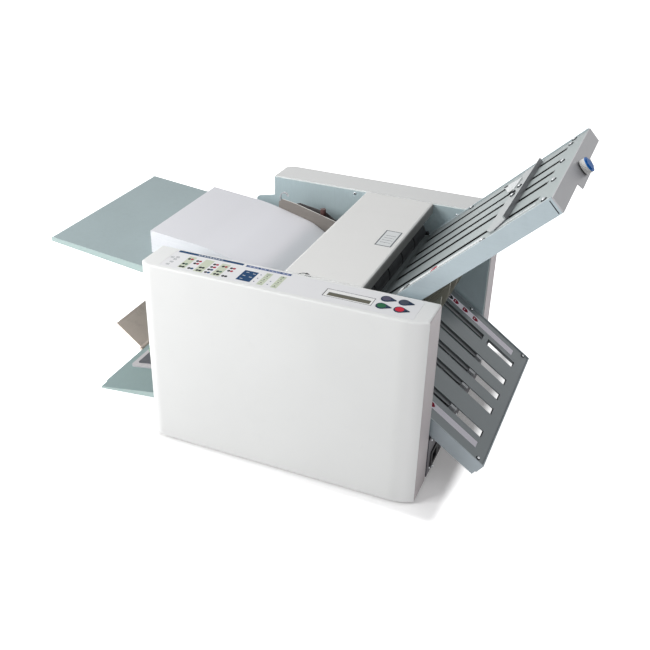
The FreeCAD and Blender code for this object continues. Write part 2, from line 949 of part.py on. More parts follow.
def side_guide(y_fence, out, share):
    """Upright fence with a foot turned outwards, which lies on the feed table; share sets its height."""
    def at(x, rise):
        return (x, table_z(x) + gap + rise)

    edge = y_fence + out * guide_sheet
    fence = prism_y(
        [at(guide_left, 0), at(guide_left, share * guide_rise_left - guide_nose),
         at(guide_left + guide_nose / 2, share * guide_rise_left - guide_nose / 3),
         at(guide_left + guide_nose, share * guide_rise_left),
         at(guide_mid_x, share * guide_rise_mid), at(guide_right, share * guide_rise_right),
         at(guide_right, 0)],
        min(y_fence, edge), max(y_fence, edge))
    toe = edge + out * guide_foot
    foot = prism_y(
        [at(guide_left, 0), at(guide_left, guide_sheet), at(guide_right, guide_sheet), at(guide_right, 0)],
        min(edge, toe), max(edge, toe))
    hole = rod_z(
        guide_knob_x, (edge + toe) / 2, guide_stud_radius + fit,
        table_z(guide_knob_x) - overrun, table_z(guide_knob_x) + guide_sheet + overrun)
    return fuse(fence, foot).cut(hole)


def guide_knob(y, height):
    """Clamp knob whose stud passes the foot and the table, with its nut below."""
    z = table_z(guide_knob_x)
    slack = gap + feed_slope * guide_knob_radius
    top = z + gap + guide_sheet + slack
    low = z - table_sheet - slack
    stud = rod_z(guide_knob_x, y, guide_stud_radius, low - guide_nut, top)
    nut = rod_z(guide_knob_x, y, guide_nut_radius, low - guide_nut, low)
    neck = rod_z(guide_knob_x, y, guide_knob_radius - guide_knob_neck, top, top + height)
    head_z = top + height / 3
    head = rod_z(guide_knob_x, y, guide_knob_radius, head_z, top + height)
    rim = [e for e in head.Edges if e.Closed and e.CenterOfMass.z > head_z + guide_knob_neck]
    return fuse(stud, nut, neck, head.makeFillet(guide_knob_neck / 2, rim))


def paper_stack():
    """Fanned stack: flat on top at its tail, thinning in a curve to its leading edge."""
    def at(x, rise):
        return FreeCAD.Vector(x, middle_y - paper_width / 2, table_z(x) + gap + rise)

    tail_low = at(stack_left, 0)
    tail_top = at(stack_left, stack_height)
    knee = at(stack_left + stack_flat, stack_height)
    mid = at(stack_mid_x, stack_mid_height)
    low = at(stack_low_x, stack_low_height)
    lead = at(stack_lead_x, stack_lead_height)
    foot = at(stack_lead_x, 0)
    edges = [
        line(tail_low, tail_top), line(tail_top, knee), arc(knee, mid, low), line(low, lead),
        line(lead, foot), line(foot, tail_low),
    ]
    return prism_of(edges, FreeCAD.Vector(0, paper_width, 0))


def separator():
    bar = rod_y(feed_x, separator_bar_z, separator_bar_radius, frame_near, frame_far)
    half = separator_width / 2
    low = table_z(feed_x) + feed_proud + separator_gap
    shoe = prism_y(
        [(feed_x - separator_length / 2, low + separator_length / 3), (feed_x, low),
         (feed_x + separator_length / 4, low), (feed_x + separator_length / 2, separator_bar_z),
         (feed_x, separator_bar_z + separator_bar_radius), (feed_x - separator_length / 2, separator_bar_z)],
        middle_y - half, middle_y + half)
    return fuse(bar, shoe)


def belt_outline(c0, r0, c1, r1, y):
    """Closed loop round two circles."""
    a = FreeCAD.Vector(c0[0], y, c0[1])
    b = FreeCAD.Vector(c1[0], y, c1[1])
    along = (b - a).normalize()
    across = left_normal(along)
    lean = math.acos((r0 - r1) / (b - a).Length)
    up = along * math.cos(lean) + across * math.sin(lean)
    down = along * math.cos(lean) - across * math.sin(lean)
    return [
        arc(a + up * r0, a - along * r0, a + down * r0), line(a + down * r0, b + down * r1),
        arc(b + down * r1, b + along * r1, b + up * r1), line(b + up * r1, a + up * r0),
    ]


def belt(c0, r0, c1, r1, y):
    width = FreeCAD.Vector(0, belt_width, 0)
    rest = y + (pulley_width - belt_width) / 2
    inner = gap
    outer = gap + belt_thickness
    loop = prism_of(belt_outline(c0, r0 + outer, c1, r1 + outer, rest), width)
    return loop.cut(prism_of(belt_outline(c0, r0 + inner, c1, r1 + inner, rest), width))


def drive_belts():
    centre = roller_places[2]
    return group([
        belt(centre, drive_pulley_radius, (motor_x, motor_z), motor_pulley_radius, drive_y),
        belt(centre, feed_drive_radius, (feed_x, feed_z), feed_pulley_radius, feed_y),
        belt(centre, exit_pulley_radius, (exit_x, exit_z), exit_pulley_radius, exit_belt_y),
    ])


def fold_roller(number):
    """Rubber-banded fold roller turned on its own shaft."""
    x, z = roller_places[number]
    band = (roller_far - roller_near - (roller_bands - 1) * roller_groove) / roller_bands
    near = shaft_near if number == 2 else gear_y - shaft_tail
    steps = [(roller_near - near, shaft_radius)]
    for i in range(roller_bands):
        steps.append((band, roller_radius))
        if i < roller_bands - 1:
            steps.append((roller_groove, roller_radius - roller_groove_depth))
    if number == 2:
        steps.append((exit_belt_y - roller_far, shaft_radius))
        steps.append((pulley_width, exit_pulley_radius))
        steps.append((shaft_far - exit_belt_y - pulley_width, shaft_radius))
    else:
        steps.append((shaft_far - roller_far, shaft_radius))
    return turned_y(x, z, near, steps)


def gear_points(x, z, phase):
    """Tooth outline as (x, z) points: root, tip, tip, root for each tooth."""
    step = 2 * math.pi / gear_teeth
    root = gear_pitch_radius - tooth_fall_share * gear_module
    tip = gear_pitch_radius + tooth_rise_share * gear_module
    points = []
    for tooth in range(gear_teeth):
        middle = (tooth + phase) * step
        for radius, turn in (
                (root, -tooth_root_share / 2), (tip, -tooth_tip_share / 2),
                (tip, tooth_tip_share / 2), (root, tooth_root_share / 2)):
            angle = middle + turn * step
            points.append((x + radius * math.cos(angle), z + radius * math.sin(angle)))
    return points


def roller_gear(number):
    """Spur gear; the middle one carries the drive pulley and the feed pulley on its hub."""
    x, z = roller_places[number]
    phase = 0 if number == 2 else 0.5
    wheel = prism_y(gear_points(x, z, phase), gear_y, gear_y + gear_width)
    if number == 2:
        hub = turned_y(x, z, feed_y, [
            (pulley_width, feed_drive_radius), (pulley_step, hub_radius),
            (pulley_width, drive_pulley_radius), (pulley_step, hub_radius)])
    else:
        hub = rod_y(x, z, hub_radius, gear_y - hub_length, gear_y)
    bore = rod_y(x, z, shaft_radius + fit, feed_y - overrun, gear_y + gear_width + overrun)
    return fuse(wheel, hub).cut(bore)


def feed_roller():
    """Feed shaft with its pulley and three rubber tyres."""
    reach = (tyre_count - 1) / 2 * tyre_pitch + tyre_width / 2
    steps = [
        (pulley_width, feed_pulley_radius),
        (middle_y - reach - feed_y - pulley_width, shaft_radius),
    ]
    for i in range(tyre_count):
        steps.append((tyre_width, feed_radius))
        if i < tyre_count - 1:
            steps.append((tyre_pitch - tyre_width, core_radius))
    steps.append((shaft_far - middle_y - reach, shaft_radius))
    return turned_y(feed_x, feed_z, feed_y, steps)


def drive_motor():
    flange = block(
        motor_x - motor_flange_half, motor_x + motor_flange_half, frame_near, frame_near + motor_flange,
        motor_z - motor_flange_half, motor_z + motor_flange_half)
    can = rod_y(
        motor_x, motor_z, motor_radius, frame_near + motor_flange, frame_near + motor_flange + motor_length)
    bore = rod_y(
        motor_x, motor_z, motor_shaft_radius + fit, inner_near, frame_near + motor_flange + motor_boss_radius)
    return fuse(flange, can).cut(bore)


def motor_pulley():
    return turned_y(motor_x, motor_z, drive_y - pulley_flange, [
        (pulley_flange, motor_pulley_radius + pulley_flange_rise), (pulley_width, motor_pulley_radius),
        (pulley_flange, motor_pulley_radius + pulley_flange_rise),
        (frame_near + motor_flange + motor_boss_radius / 2 - drive_y - pulley_width - pulley_flange,
         motor_shaft_radius)])


def top_lid():
    """Flat cover folded down at both edges, hinged on two pins at its left edge."""
    y0 = frame_near + gap
    y1 = frame_far - gap
    sheet = folded(
        [(lid_left, housing_top - lid_left_lip), (lid_left, housing_top), (lid_right, housing_top),
         (lid_right, housing_top - lid_lip)],
        -lid_sheet, y0, y1)
    parts = []
    for y, pin0, pin1 in (
            (y0, inner_near, y0 + lid_ear), (y1 - lid_ear, y1 - lid_ear, inner_far)):
        ear = prism_y(
            [(lid_pin_x - lid_pin_radius / 2, lid_pin_z - lid_pin_radius),
             (lid_pin_x + lid_ear_half, lid_pin_z - lid_pin_radius),
             (lid_pin_x + 2 * lid_ear_half, housing_top - lid_sheet / 2),
             (lid_pin_x - lid_pin_radius / 2, housing_top - lid_sheet / 2)],
            y, y + lid_ear)
        parts += [ear, rod_y(lid_pin_x, lid_pin_z, lid_pin_radius, pin0, pin1)]
    return fuse(sheet, *parts)


def lid_switch():
    return block(
        lid_switch_x, lid_switch_x + lid_switch_long, frame_far - lid_switch_deep, frame_far,
        lid_switch_z, lid_switch_z + lid_switch_high)


bed_top = -plate_sheet - sheet_gap
bed_low = bed_top - plate_sheet


def hook_slot(y0, y1, pull_angle):
    """Cutter for the slot that drops over a frame pin, open against the plate's way off it."""
    half = hook_pin_radius + gap
    channel = block(-rail_depth, 0, y0, y1, -half, half)
    channel.rotate(FreeCAD.Vector(0, 0, 0), FreeCAD.Vector(0, 1, 0), -pull_angle)
    return fuse(
        channel.translated(FreeCAD.Vector(hook_pin_u, 0, -hook_pin_w)),
        rod_y(hook_pin_u, -hook_pin_w, half, y0, y1))


def rail(length, y_out, out, pull_angle):
    """Side rail: upright web with a ledge between the two sheets and a lip at the bottom."""
    def strip(y0, y1, w0, w1):
        a = y_out - out * y0
        b = y_out - out * y1
        return block(0, length, min(a, b), max(a, b), w0, w1)

    web = strip(0, rail_sheet, -rail_depth, rail_proud)
    spacer = strip(rail_sheet, rail_sheet + ledge, bed_top, -plate_sheet)
    lip = strip(rail_sheet, rail_lip, -rail_depth, -rail_depth + rail_sheet)
    y_in = y_out - out * (rail_lip + hook_pin_reach)
    slot = hook_slot(min(y_in, y_out) - overrun, max(y_in, y_out) + overrun, pull_angle)
    return fuse(web, fuse(spacer, lip)).cut(slot)


def long_slot(u0, u1, y, width, w0, w1):
    """Slot cutter with round ends."""
    half = width / 2
    return fuse(
        block(u0 + half, u1 - half, y - half, y + half, w0, w1),
        rod_z(u0 + half, y, half, w0, w1), rod_z(u1 - half, y, half, w0, w1))


def upper_cover():
    """Slotted top sheet, flared at its mouth."""
    sheet = folded(
        [(upper_length, 0), (0, 0), (-mouth_flare, mouth_flare_rise)],
        plate_sheet, upper_near + rail_sheet + side_gap, upper_far - rail_sheet - side_gap)
    cuts = [
        long_slot(upper_slot_start, upper_length - upper_slot_end, y, upper_slot_width, -overrun, overrun)
        for y in upper_slots_y
    ]
    return sheet.cut(group(cuts))


link_y = upper_slots_y[2]


def upper_bed():
    sheet = block(
        0, upper_length, upper_near + rail_sheet + side_gap, upper_far - rail_sheet - side_gap,
        bed_low, bed_top)
    return sheet.cut(long_slot(
        upper_slot_start, upper_length - upper_slot_end, link_y, upper_slot_width,
        bed_low - overrun, bed_top + overrun))


def upper_rails():
    return group([rail(upper_length, upper_near, -1, 0), rail(upper_length, upper_far, 1, 0)])


def upper_end_bracket():
    """End plate with a deeper lobe that carries the knob, and a tab under the bed."""
    bevel = bracket_lobe_bevel
    outline = [
        (upper_near, 0), (upper_far, 0), (upper_far, -rail_depth), (bracket_lobe_far, -rail_depth),
        (bracket_lobe_far - bevel, -bracket_lobe_depth), (bracket_lobe_near + bevel, -bracket_lobe_depth),
        (bracket_lobe_near, -rail_depth), (upper_near, -rail_depth),
    ]
    corners = [FreeCAD.Vector(upper_length, y, w) for y, w in outline]
    plate = Part.Face(Part.makePolygon(corners + corners[:1])).extrude(FreeCAD.Vector(bracket_sheet, 0, 0))
    tab = block(
        upper_length - bracket_tab, upper_length, upper_near + bracket_tab_inset,
        upper_far - bracket_tab_inset, bed_low - rail_sheet, bed_low)
    hole = rod_x(knob_y, -knob_w, screw_radius + fit, upper_length - overrun,
                 upper_length + bracket_sheet + overrun)
    return fuse(plate, tab).cut(hole)


def upper_stop():
    """Paper stop: cross plate with an upright lip, fingers in the slots, a nut under the bed."""
    back = upper_length - stop_back
    front = back + stop_plate_length
    plate = block(back, front, stop_near, stop_far, gap, gap + stop_plate)
    lip = block(front - stop_plate, front, stop_near, stop_far, gap, gap + stop_lip)
    tip = front - stop_pointer_back
    pointer = prism_z(
        [(back, stop_near), (tip - stop_pointer_tip, stop_near - stop_pointer_length),
         (tip, stop_near - stop_pointer_length), (front, stop_near)], gap, gap + stop_plate)
    parts = [lip, pointer]
    for y in upper_slots_y:
        low = bed_top + gap if y != link_y else -knob_w
        parts.append(block(
            front - stop_finger_length, front, y - stop_finger_width / 2, y + stop_finger_width / 2,
            low, gap))
    nut = block(
        front - stop_plate_length, front, link_y - stop_finger_width / 2,
        link_y - stop_finger_width / 2 + nut_width, -knob_w - nut_half_height, -knob_w + nut_half_height)
    bore = rod_x(knob_y, -knob_w, screw_radius + fit, back - overrun, front + overrun)
    return fuse(plate, *parts, nut).cut(bore)


def stop_knob():
    """Knob with its washer, cap and the long screw that moves the paper stop."""
    face = upper_length + bracket_sheet
    screw = rod_x(knob_y, -knob_w, screw_radius, screw_foot, face + knob_washer)
    washer = rod_x(knob_y, -knob_w, knob_washer_radius, face + gap, face + knob_washer)
    body = rod_x(knob_y, -knob_w, knob_radius, face + knob_washer, face + knob_washer + knob_body)
    cap_u = face + knob_washer + knob_body
    cap = rod_x(knob_y, -knob_w, knob_cap_radius, cap_u, cap_u + knob_cap)
    collar = rod_x(knob_y, -knob_w, screw_radius + rail_sheet, upper_length - gap - rail_sheet,
                   upper_length - gap)
    return fuse(screw, washer, body, cap, collar)


def lower_windows(width_slot, width_window, w0, w1):
    """Cutters for the lower sheets: a slot that opens into a wide window near the end."""
    cuts = []
    last = lower_slots_y[-1]
    window_start = lower_length - window_reach
    for y in lower_slots_y:
        half = width_window / 2
        cuts.append(block(
            window_start, lower_length - window_margin, y - half, y + half, w0, w1))
        slot_end = window_start - lower_bridge if y == last else window_start + overrun
        narrow = width_slot / 2
        cuts.append(block(lower_slot_start, slot_end, y - narrow, y + narrow, w0, w1))
    return group(cuts)


def lower_sheet(w0, w1, width_slot, width_window):
    sheet = block(
        0, lower_length, lower_near + rail_sheet + side_gap, lower_far - rail_sheet - side_gap, w0, w1)
    return sheet.cut(lower_windows(width_slot, width_window, w0 - overrun, w1 + overrun))


def lower_cover():
    flat = lower_sheet(-plate_sheet, 0, lower_slot_width, lower_slot_width)
    flare = prism_y(
        [(0, -plate_sheet), (0, 0), (-mouth_flare, mouth_flare_rise),
         (-mouth_flare, mouth_flare_rise - plate_sheet)],
        lower_near + rail_sheet + side_gap, lower_far - rail_sheet - side_gap)
    return fuse(flat, flare)


def lower_bed():
    return lower_sheet(bed_low, bed_top, lower_finger_slot, lower_bed_window)


def lower_frame():
    """Both rails joined by an end plate, with its corners bevelled."""
    near = rail(lower_length, lower_near, -1, lower_pull_angle - lower_angle)
    far = rail(lower_length, lower_far, 1, lower_pull_angle - lower_angle)
    outline = [
        (lower_near, rail_proud), (lower_far, rail_proud), (lower_far, -rail_depth + lower_bevel),
        (lower_far - lower_bevel, -rail_depth), (lower_near + lower_bevel, -rail_depth),
        (lower_near, -rail_depth + lower_bevel),
    ]
    corners = [FreeCAD.Vector(lower_length, y, w) for y, w in outline]
    end = Part.Face(Part.makePolygon(corners + corners[:1])).extrude(FreeCAD.Vector(rail_sheet, 0, 0))
    return fuse(near, far, end)


def lower_stop():
    """Cross bar under the bed, with fingers up through both sheets."""
    back = lower_length - lower_stop_back
    front = back + lower_stop_length
    top = bed_low - gap
    bar = block(
        back, front, lower_near + rail_lip + lower_stop_margin / 2,
        lower_far - rail_lip - lower_stop_margin / 2, top - lower_stop_depth, top)
    fingers = [
        block(back, front, y - lower_finger_width / 2, y + lower_finger_width / 2, top - overrun,
              lower_finger_proud)
        for y in lower_slots_y[:-1]
    ]
    return fuse(bar, *fingers)


def throat_fins():
    """Row of horn-shaped fins on a cross bar between the two plates."""
    fins = []
    first = lower_near + fin_margin
    last = lower_far - fin_margin
    for i in range(fin_count):
        y = first + (last - first) * i / (fin_count - 1)
        root_low = FreeCAD.Vector(fin_root_x, y, fin_root_low)
        root_high = FreeCAD.Vector(fin_root_x, y, fin_root_high)
        tip = FreeCAD.Vector(fin_tip_x, y, fin_tip_z)
        belly = FreeCAD.Vector(fin_belly_x, y, fin_belly_z)
        edges = [line(root_low, root_high), line(root_high, tip), arc(tip, belly, root_low)]
        fin = prism_of(edges, FreeCAD.Vector(0, fin_sheet, 0))
        fins.append(fin.cut(rod_y(fin_bar_x, fin_bar_z, bar_radius + fit, y - overrun, y + 2 * overrun)))
    return group(fins)


arm_places = (chute_near + arm_inset, chute_far - arm_inset - arm_sheet)


def exit_chute():
    """Chute sheet from the last nip to the exit roller, with two arms that carry the roller."""
    slope = (chute_top_z - chute_end_z) / (chute_top_x - chute_end_x)
    narrow_z = chute_top_z - slope * (chute_top_x - chute_narrow_x)
    wide = folded(
        [(chute_top_x, chute_top_z), (chute_narrow_x, narrow_z)], chute_sheet, frame_near, frame_far)
    tail = folded(
        [(chute_narrow_x, narrow_z), (chute_end_x, chute_end_z)], chute_sheet, chute_near, chute_far)
    arm = [
        (arm_right, arm_low), (arm_right, arm_high + arm_nose), (arm_right - arm_nose, arm_high + arm_nose),
        (arm_left + arm_nose, arm_high), (arm_left, arm_high - arm_nose), (arm_left + arm_nose, arm_low),
    ]
    arms = []
    for y in arm_places:
        plate = prism_y(arm, y, y + arm_sheet)
        for x, z, radius in (
                (exit_x, exit_z, exit_core), (deflector_x, deflector_z, deflector_pin_radius)):
            plate = plate.cut(rod_y(x, z, radius + fit, y - overrun, y + arm_sheet + overrun))
        arms.append(plate)
    return fuse(wide, tail, *arms)


def exit_roller():
    """Exit shaft with green tyres beside and between the arms, and a pulley at its rear end."""
    first = chute_near + exit_tyre_inset
    last = chute_far - exit_tyre_inset
    space = (last - first - exit_tyres * exit_tyre_width) / (exit_tyres - 1)
    start = first - exit_stub
    steps = [(first - start, exit_shaft_radius)]
    for i in range(exit_tyres):
        steps.append((exit_tyre_width, exit_radius))
        if i < exit_tyres - 1:
            steps.append((space, exit_core))
    steps.append((exit_belt_y - last, exit_shaft_radius))
    steps.append((pulley_width, exit_pulley_radius))
    return turned_y(exit_x, exit_z, start, steps)


def deflector_plate():
    """Flat plate that leans up and outwards from a rod in the two arms, notched round the arms."""
    rod = rod_y(
        deflector_x, deflector_z, deflector_pin_radius, deflector_near - deflector_pin_radius,
        deflector_far + deflector_pin_radius)
    along = vector_at(deflector_angle, deflector_length)
    across = vector_at(deflector_angle - 90, deflector_sheet)
    corners = [(0, 0), (along.x, along.z), (along.x + across.x, along.z + across.z), (across.x, across.z)]
    plate = prism_y(
        [(deflector_x + x, deflector_z + z) for x, z in corners], deflector_near, deflector_far)
    for y in arm_places:
        plate = plate.cut(rod_y(
            deflector_x, deflector_z, deflector_notch, y - deflector_notch_side,
            y + arm_sheet + deflector_notch_side))
    return fuse(plate, rod)


def delivery_z(x):
    return delivery_left_z + delivery_slope * (x - delivery_left)


def delivery_tray():
    """Tray that rises from the table towards the machine, with a wedge lip on both sides."""
    left = delivery_left
    right = pan_left
    top = folded(
        [(left, delivery_z(left)), (right, delivery_z(right)),
         (right, delivery_z(right) - delivery_lip_right)],
        -pan_sheet, delivery_near, delivery_far)
    side = [
        (left, delivery_z(left) - delivery_lip_left), (left, delivery_z(left)),
        (right - pan_sheet, delivery_z(right - pan_sheet) - pan_sheet / 2),
        (right - pan_sheet, delivery_z(right) - delivery_lip_right),
    ]
    near = prism_y(side, delivery_near, delivery_near + pan_sheet)
    far = prism_y(side, delivery_far - pan_sheet, delivery_far)
    return fuse(top, near, far)


def delivery_extension():
    left = delivery_left - extension_out
    return rounded_block(
        left, left + extension_length, extension_near, extension_far, extension_rise,
        extension_rise + extension_sheet, bend)


def tilted(plate, x, z):
    """Lays a flat plate on the sloping delivery tray, turned about its left end."""
    turned = plate.copy()
    turned.rotate(
        FreeCAD.Vector(x, 0, z), FreeCAD.Vector(0, 1, 0), -math.degrees(math.atan(delivery_slope)))
    return turned


def delivery_bed():
    z = delivery_z(bed_left)
    return tilted(
        rounded_block(bed_left, bed_right, bed_near, bed_far, z, z + bed_sheet, bed_corner), bed_left, z)


def delivery_pad():
    z = delivery_z(bed_left)
    pad = rounded_block(
        bed_left + pad_margin, pad_right, bed_near + pad_margin, bed_far - pad_margin,
        z + bed_sheet, z + bed_sheet + pad_sheet, bend)
    return tilted(pad, bed_left, z)


def build():
    keep("base_pan", base_pan())
    keep("end_panel", end_panel())
    keep("front_frame", front_frame())
    keep("rear_frame", rear_frame())
    keep("tie_bars", tie_bars())
    keep("roller_bushes", roller_bushes())
    keep("rubber_feet", rubber_feet())
    keep("front_cover", front_cover())
    keep("rear_cover", rear_cover())
    keep("control_overlay", control_overlay())
    keep("display_window", display_window())
    keep("control_board", control_board())
    for name, (x, y) in button_places.items():
        keep(name, button(x, y))
    keep("power_inlet", power_inlet())
    keep("power_switch", power_switch())
    keep("feed_tray", feed_tray())
    keep("feed_table", feed_table())
    keep("front_side_guide", side_guide(fence_near, -1, front_guide_share))
    keep("rear_side_guide", side_guide(fence_far, 1, 1))
    keep("front_guide_knob", guide_knob(knob_near_y, front_guide_share * guide_knob_height))
    keep("rear_guide_knob", guide_knob(knob_far_y, guide_knob_height))
    keep("paper_stack", paper_stack())
    keep("separator", separator())
    keep("feed_roller", feed_roller())
    for number in roller_places:
        keep("fold_roller_%d" % number, fold_roller(number))
        keep("roller_gear_%d" % number, roller_gear(number))
    keep("drive_belts", drive_belts())
    keep("drive_motor", drive_motor())
    keep("motor_pulley", motor_pulley())
    keep("top_lid", top_lid())
    keep("lid_switch", lid_switch())
    for name, shape in (
            ("upper_cover", upper_cover()), ("upper_bed", upper_bed()), ("upper_rails", upper_rails()),
            ("upper_end_bracket", upper_end_bracket()), ("upper_stop", upper_stop()),
            ("stop_knob", stop_knob())):
        keep(name, on_plate(shape, upper_mouth, upper_angle))
    for name, shape in (
            ("lower_cover", lower_cover()), ("lower_bed", lower_bed()), ("lower_frame", lower_frame()),
            ("lower_stop", lower_stop())):
        keep(name, on_plate(shape, lower_mouth, lower_angle))
    keep("throat_fins", throat_fins())
    keep("exit_chute", exit_chute())
    keep("exit_roller", exit_roller())
    keep("deflector_plate", deflector_plate())
    keep("delivery_tray", delivery_tray())
    keep("delivery_extension", delivery_extension())
    keep("delivery_bed", delivery_bed())
    keep("delivery_pad", delivery_pad())


build()
os.makedirs("parts", exist_ok=True)
for name, shape in pieces.items():
    shape.exportStep("parts/%s.step" % name)
print(len(pieces), "nodes; shift", round(shift.x, 3), round(shift.y, 3))
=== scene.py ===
# Looks of a desk paper folding machine, laid out as an add-on and run as a script.
import math
import random

import bmesh
import bpy
from mathutils import Matrix, Vector


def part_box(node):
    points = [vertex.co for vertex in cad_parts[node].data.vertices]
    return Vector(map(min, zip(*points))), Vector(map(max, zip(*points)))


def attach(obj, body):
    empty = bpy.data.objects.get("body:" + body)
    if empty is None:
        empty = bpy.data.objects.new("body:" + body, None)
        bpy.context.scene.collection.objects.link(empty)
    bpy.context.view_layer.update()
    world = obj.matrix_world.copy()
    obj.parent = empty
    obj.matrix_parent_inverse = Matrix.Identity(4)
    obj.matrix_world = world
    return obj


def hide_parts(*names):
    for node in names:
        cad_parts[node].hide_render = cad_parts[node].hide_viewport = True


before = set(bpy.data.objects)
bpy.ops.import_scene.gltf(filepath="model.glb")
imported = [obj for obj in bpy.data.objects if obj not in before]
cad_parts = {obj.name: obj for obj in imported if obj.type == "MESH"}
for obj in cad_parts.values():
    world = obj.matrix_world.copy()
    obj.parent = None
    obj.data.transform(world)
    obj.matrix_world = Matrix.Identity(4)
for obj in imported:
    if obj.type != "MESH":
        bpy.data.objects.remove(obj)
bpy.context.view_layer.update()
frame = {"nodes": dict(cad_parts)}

bl_info = {
    "name": "Paper folding machine looks",
    "version": (1, 0, 0),
    "blender": (4, 5, 0),
    "location": "View3D > Sidebar > Folder",
    "description": "Finishes, prints, paper, small parts and studio for a desk paper folding machine",
    "category": "Object",
}

MM = 0.001
FRONT_LEFT = 223.0
START = Vector((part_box("front_cover")[0].x + FRONT_LEFT * MM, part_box("front_cover")[0].y, 0))
HOUSING_TOP = 314.0
PRINT_LIFT = 0.08
REAR_FACE = (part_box("rear_cover")[1].y - START.y) / MM


def at(x, y, z):
    """A place from millimetres: x off the front housing's middle, y off its face, z off the table."""
    return Vector((x, y, z)) * MM + START


def level():
    """Frame for work laid out in the machine's own millimetres."""
    return Matrix.Translation(START) @ Matrix.Scale(MM, 4)


def sloping(mouth_x, mouth_z, degrees):
    """Frame of a fold plate in millimetres: along it, across the machine, and square to it."""
    c, s = math.cos(math.radians(degrees)), math.sin(math.radians(degrees))
    turn = Matrix(((c, 0, -s, 0), (0, 1, 0, 0), (s, 0, c, 0), (0, 0, 0, 1)))
    return Matrix.Translation(at(mouth_x, 0, mouth_z)) @ turn @ Matrix.Scale(MM, 4)


UPPER = (111.4, 266.3, 43.5)
UPPER_LENGTH = 322.0
UPPER_SLOTS = (122.8, 186.0, 232.7, 282.4, 341.8)
UPPER_SLOT_RUN = (12.0, 291.0)
LOWER = (118.2, 187.9, -35.4)
LOWER_LENGTH = 231.0

# Loaded stack: its height, where its sheets start to fan out, and the table under it
# as x, height and fall for each millimetre.
STACK_HEIGHT = 38.6
STACK_KNEE = -200.0
STACK_FANNING = ((-186, 38.2), (-172, 36.9), (-150, 34.0), (-110, 27.5), (-96, 25.0), (-88, 22.5),
                 (-78, 17.5), (-70, 13.5), (-60, 9.6), (-50, 7.0))
STACK_LEAD = 4.0
TABLE = (-449.0, 277.0, 0.10)

# Keys: the centre of each, and how far out its dark tip starts.
KEY_PLACES = {
    "count_button": (148, 49), "test_button": (174, 49), "start_button": (148, 27), "stop_button": (174, 27)}
KEY_TIP = (6.0, 6.6)

# Stop knob: its axis across the machine and under the plate, and its faces past the plate's end.
KNOB_AXIS = (243.0, 20.0)
KNOB_RIDGES = 30.0
KNOB_THREAD = 4.0
KNOB_WASHER = (1.9, 2.3)
KNOB_BODY = (3.9, 4.1)
KNOB_CAP = (11.6, 11.9)

# Exit shaft: its place, the radius where its tyres start and the pitch of their ribs.
EXIT_AXIS = (-286.0, 78.0)
EXIT_TYRE = (8.2, 8.6)
EXIT_RIB = 3.0

# Picture: focal length and width in pixels, the sensor, the angles, the target and how far off it is.
FOCAL_PIXELS = 900.0
PICTURE_PIXELS = 650.0
SENSOR = 36.0
VIEW_ANGLES = (21.91, 29.98, 1.54)
VIEW_TARGET = (-19.5, 240, 131.5)
VIEW_DISTANCE = 1.5462
FLOOR_RADIUS = 7.0
# Middle and half width of the shaded floor along x and y, and how far beyond it the white begins.
SHADED_FLOOR = ((20, 228), (238, 241))
SHADE_FADE = (5, 32)


def tone(r, g, b):
    """Colour as a shader wants it, from values read off a screen."""
    def straight(v):
        return v / 12.92 if v <= 0.04045 else ((v + 0.055) / 1.055) ** 2.4
    return (straight(r), straight(g), straight(b), 1.0)


def shade(colour, share):
    """The same colour, lighter or darker."""
    return tuple(min(1.0, c * share) for c in colour[:3]) + (1.0,)


# Shader maths ---------------------------------------------------------------------------------

class Signal:
    """A shader socket that takes part in sums."""

    def __init__(self, finish, socket):
        self.finish = finish
        self.socket = socket

    def sum(self, operation, *terms):
        return self.finish.node("Math", {"operation": operation}, dict(enumerate(terms)))

    def __add__(self, other):
        return self.sum("ADD", self, other)

    __radd__ = __add__

    def __sub__(self, other):
        return self.sum("SUBTRACT", self, other)

    def __rsub__(self, other):
        return self.sum("SUBTRACT", other, self)

    def __mul__(self, other):
        return self.sum("MULTIPLY", self, other)

    __rmul__ = __mul__

    def sine(self):
        return self.sum("SINE", self)

    def size(self):
        """The value without its sign."""
        return self.sum("ABSOLUTE", self)

    def root(self):
        return self.sum("SQRT", self)

    def rise(self, low, high):
        """Nought below low, one above high, smooth between; low may be the larger."""
        return self.finish.node(
            "MapRange", {"interpolation_type": "SMOOTHSTEP", "clamp": True},
            {"Value": self, "From Min": low, "From Max": high})


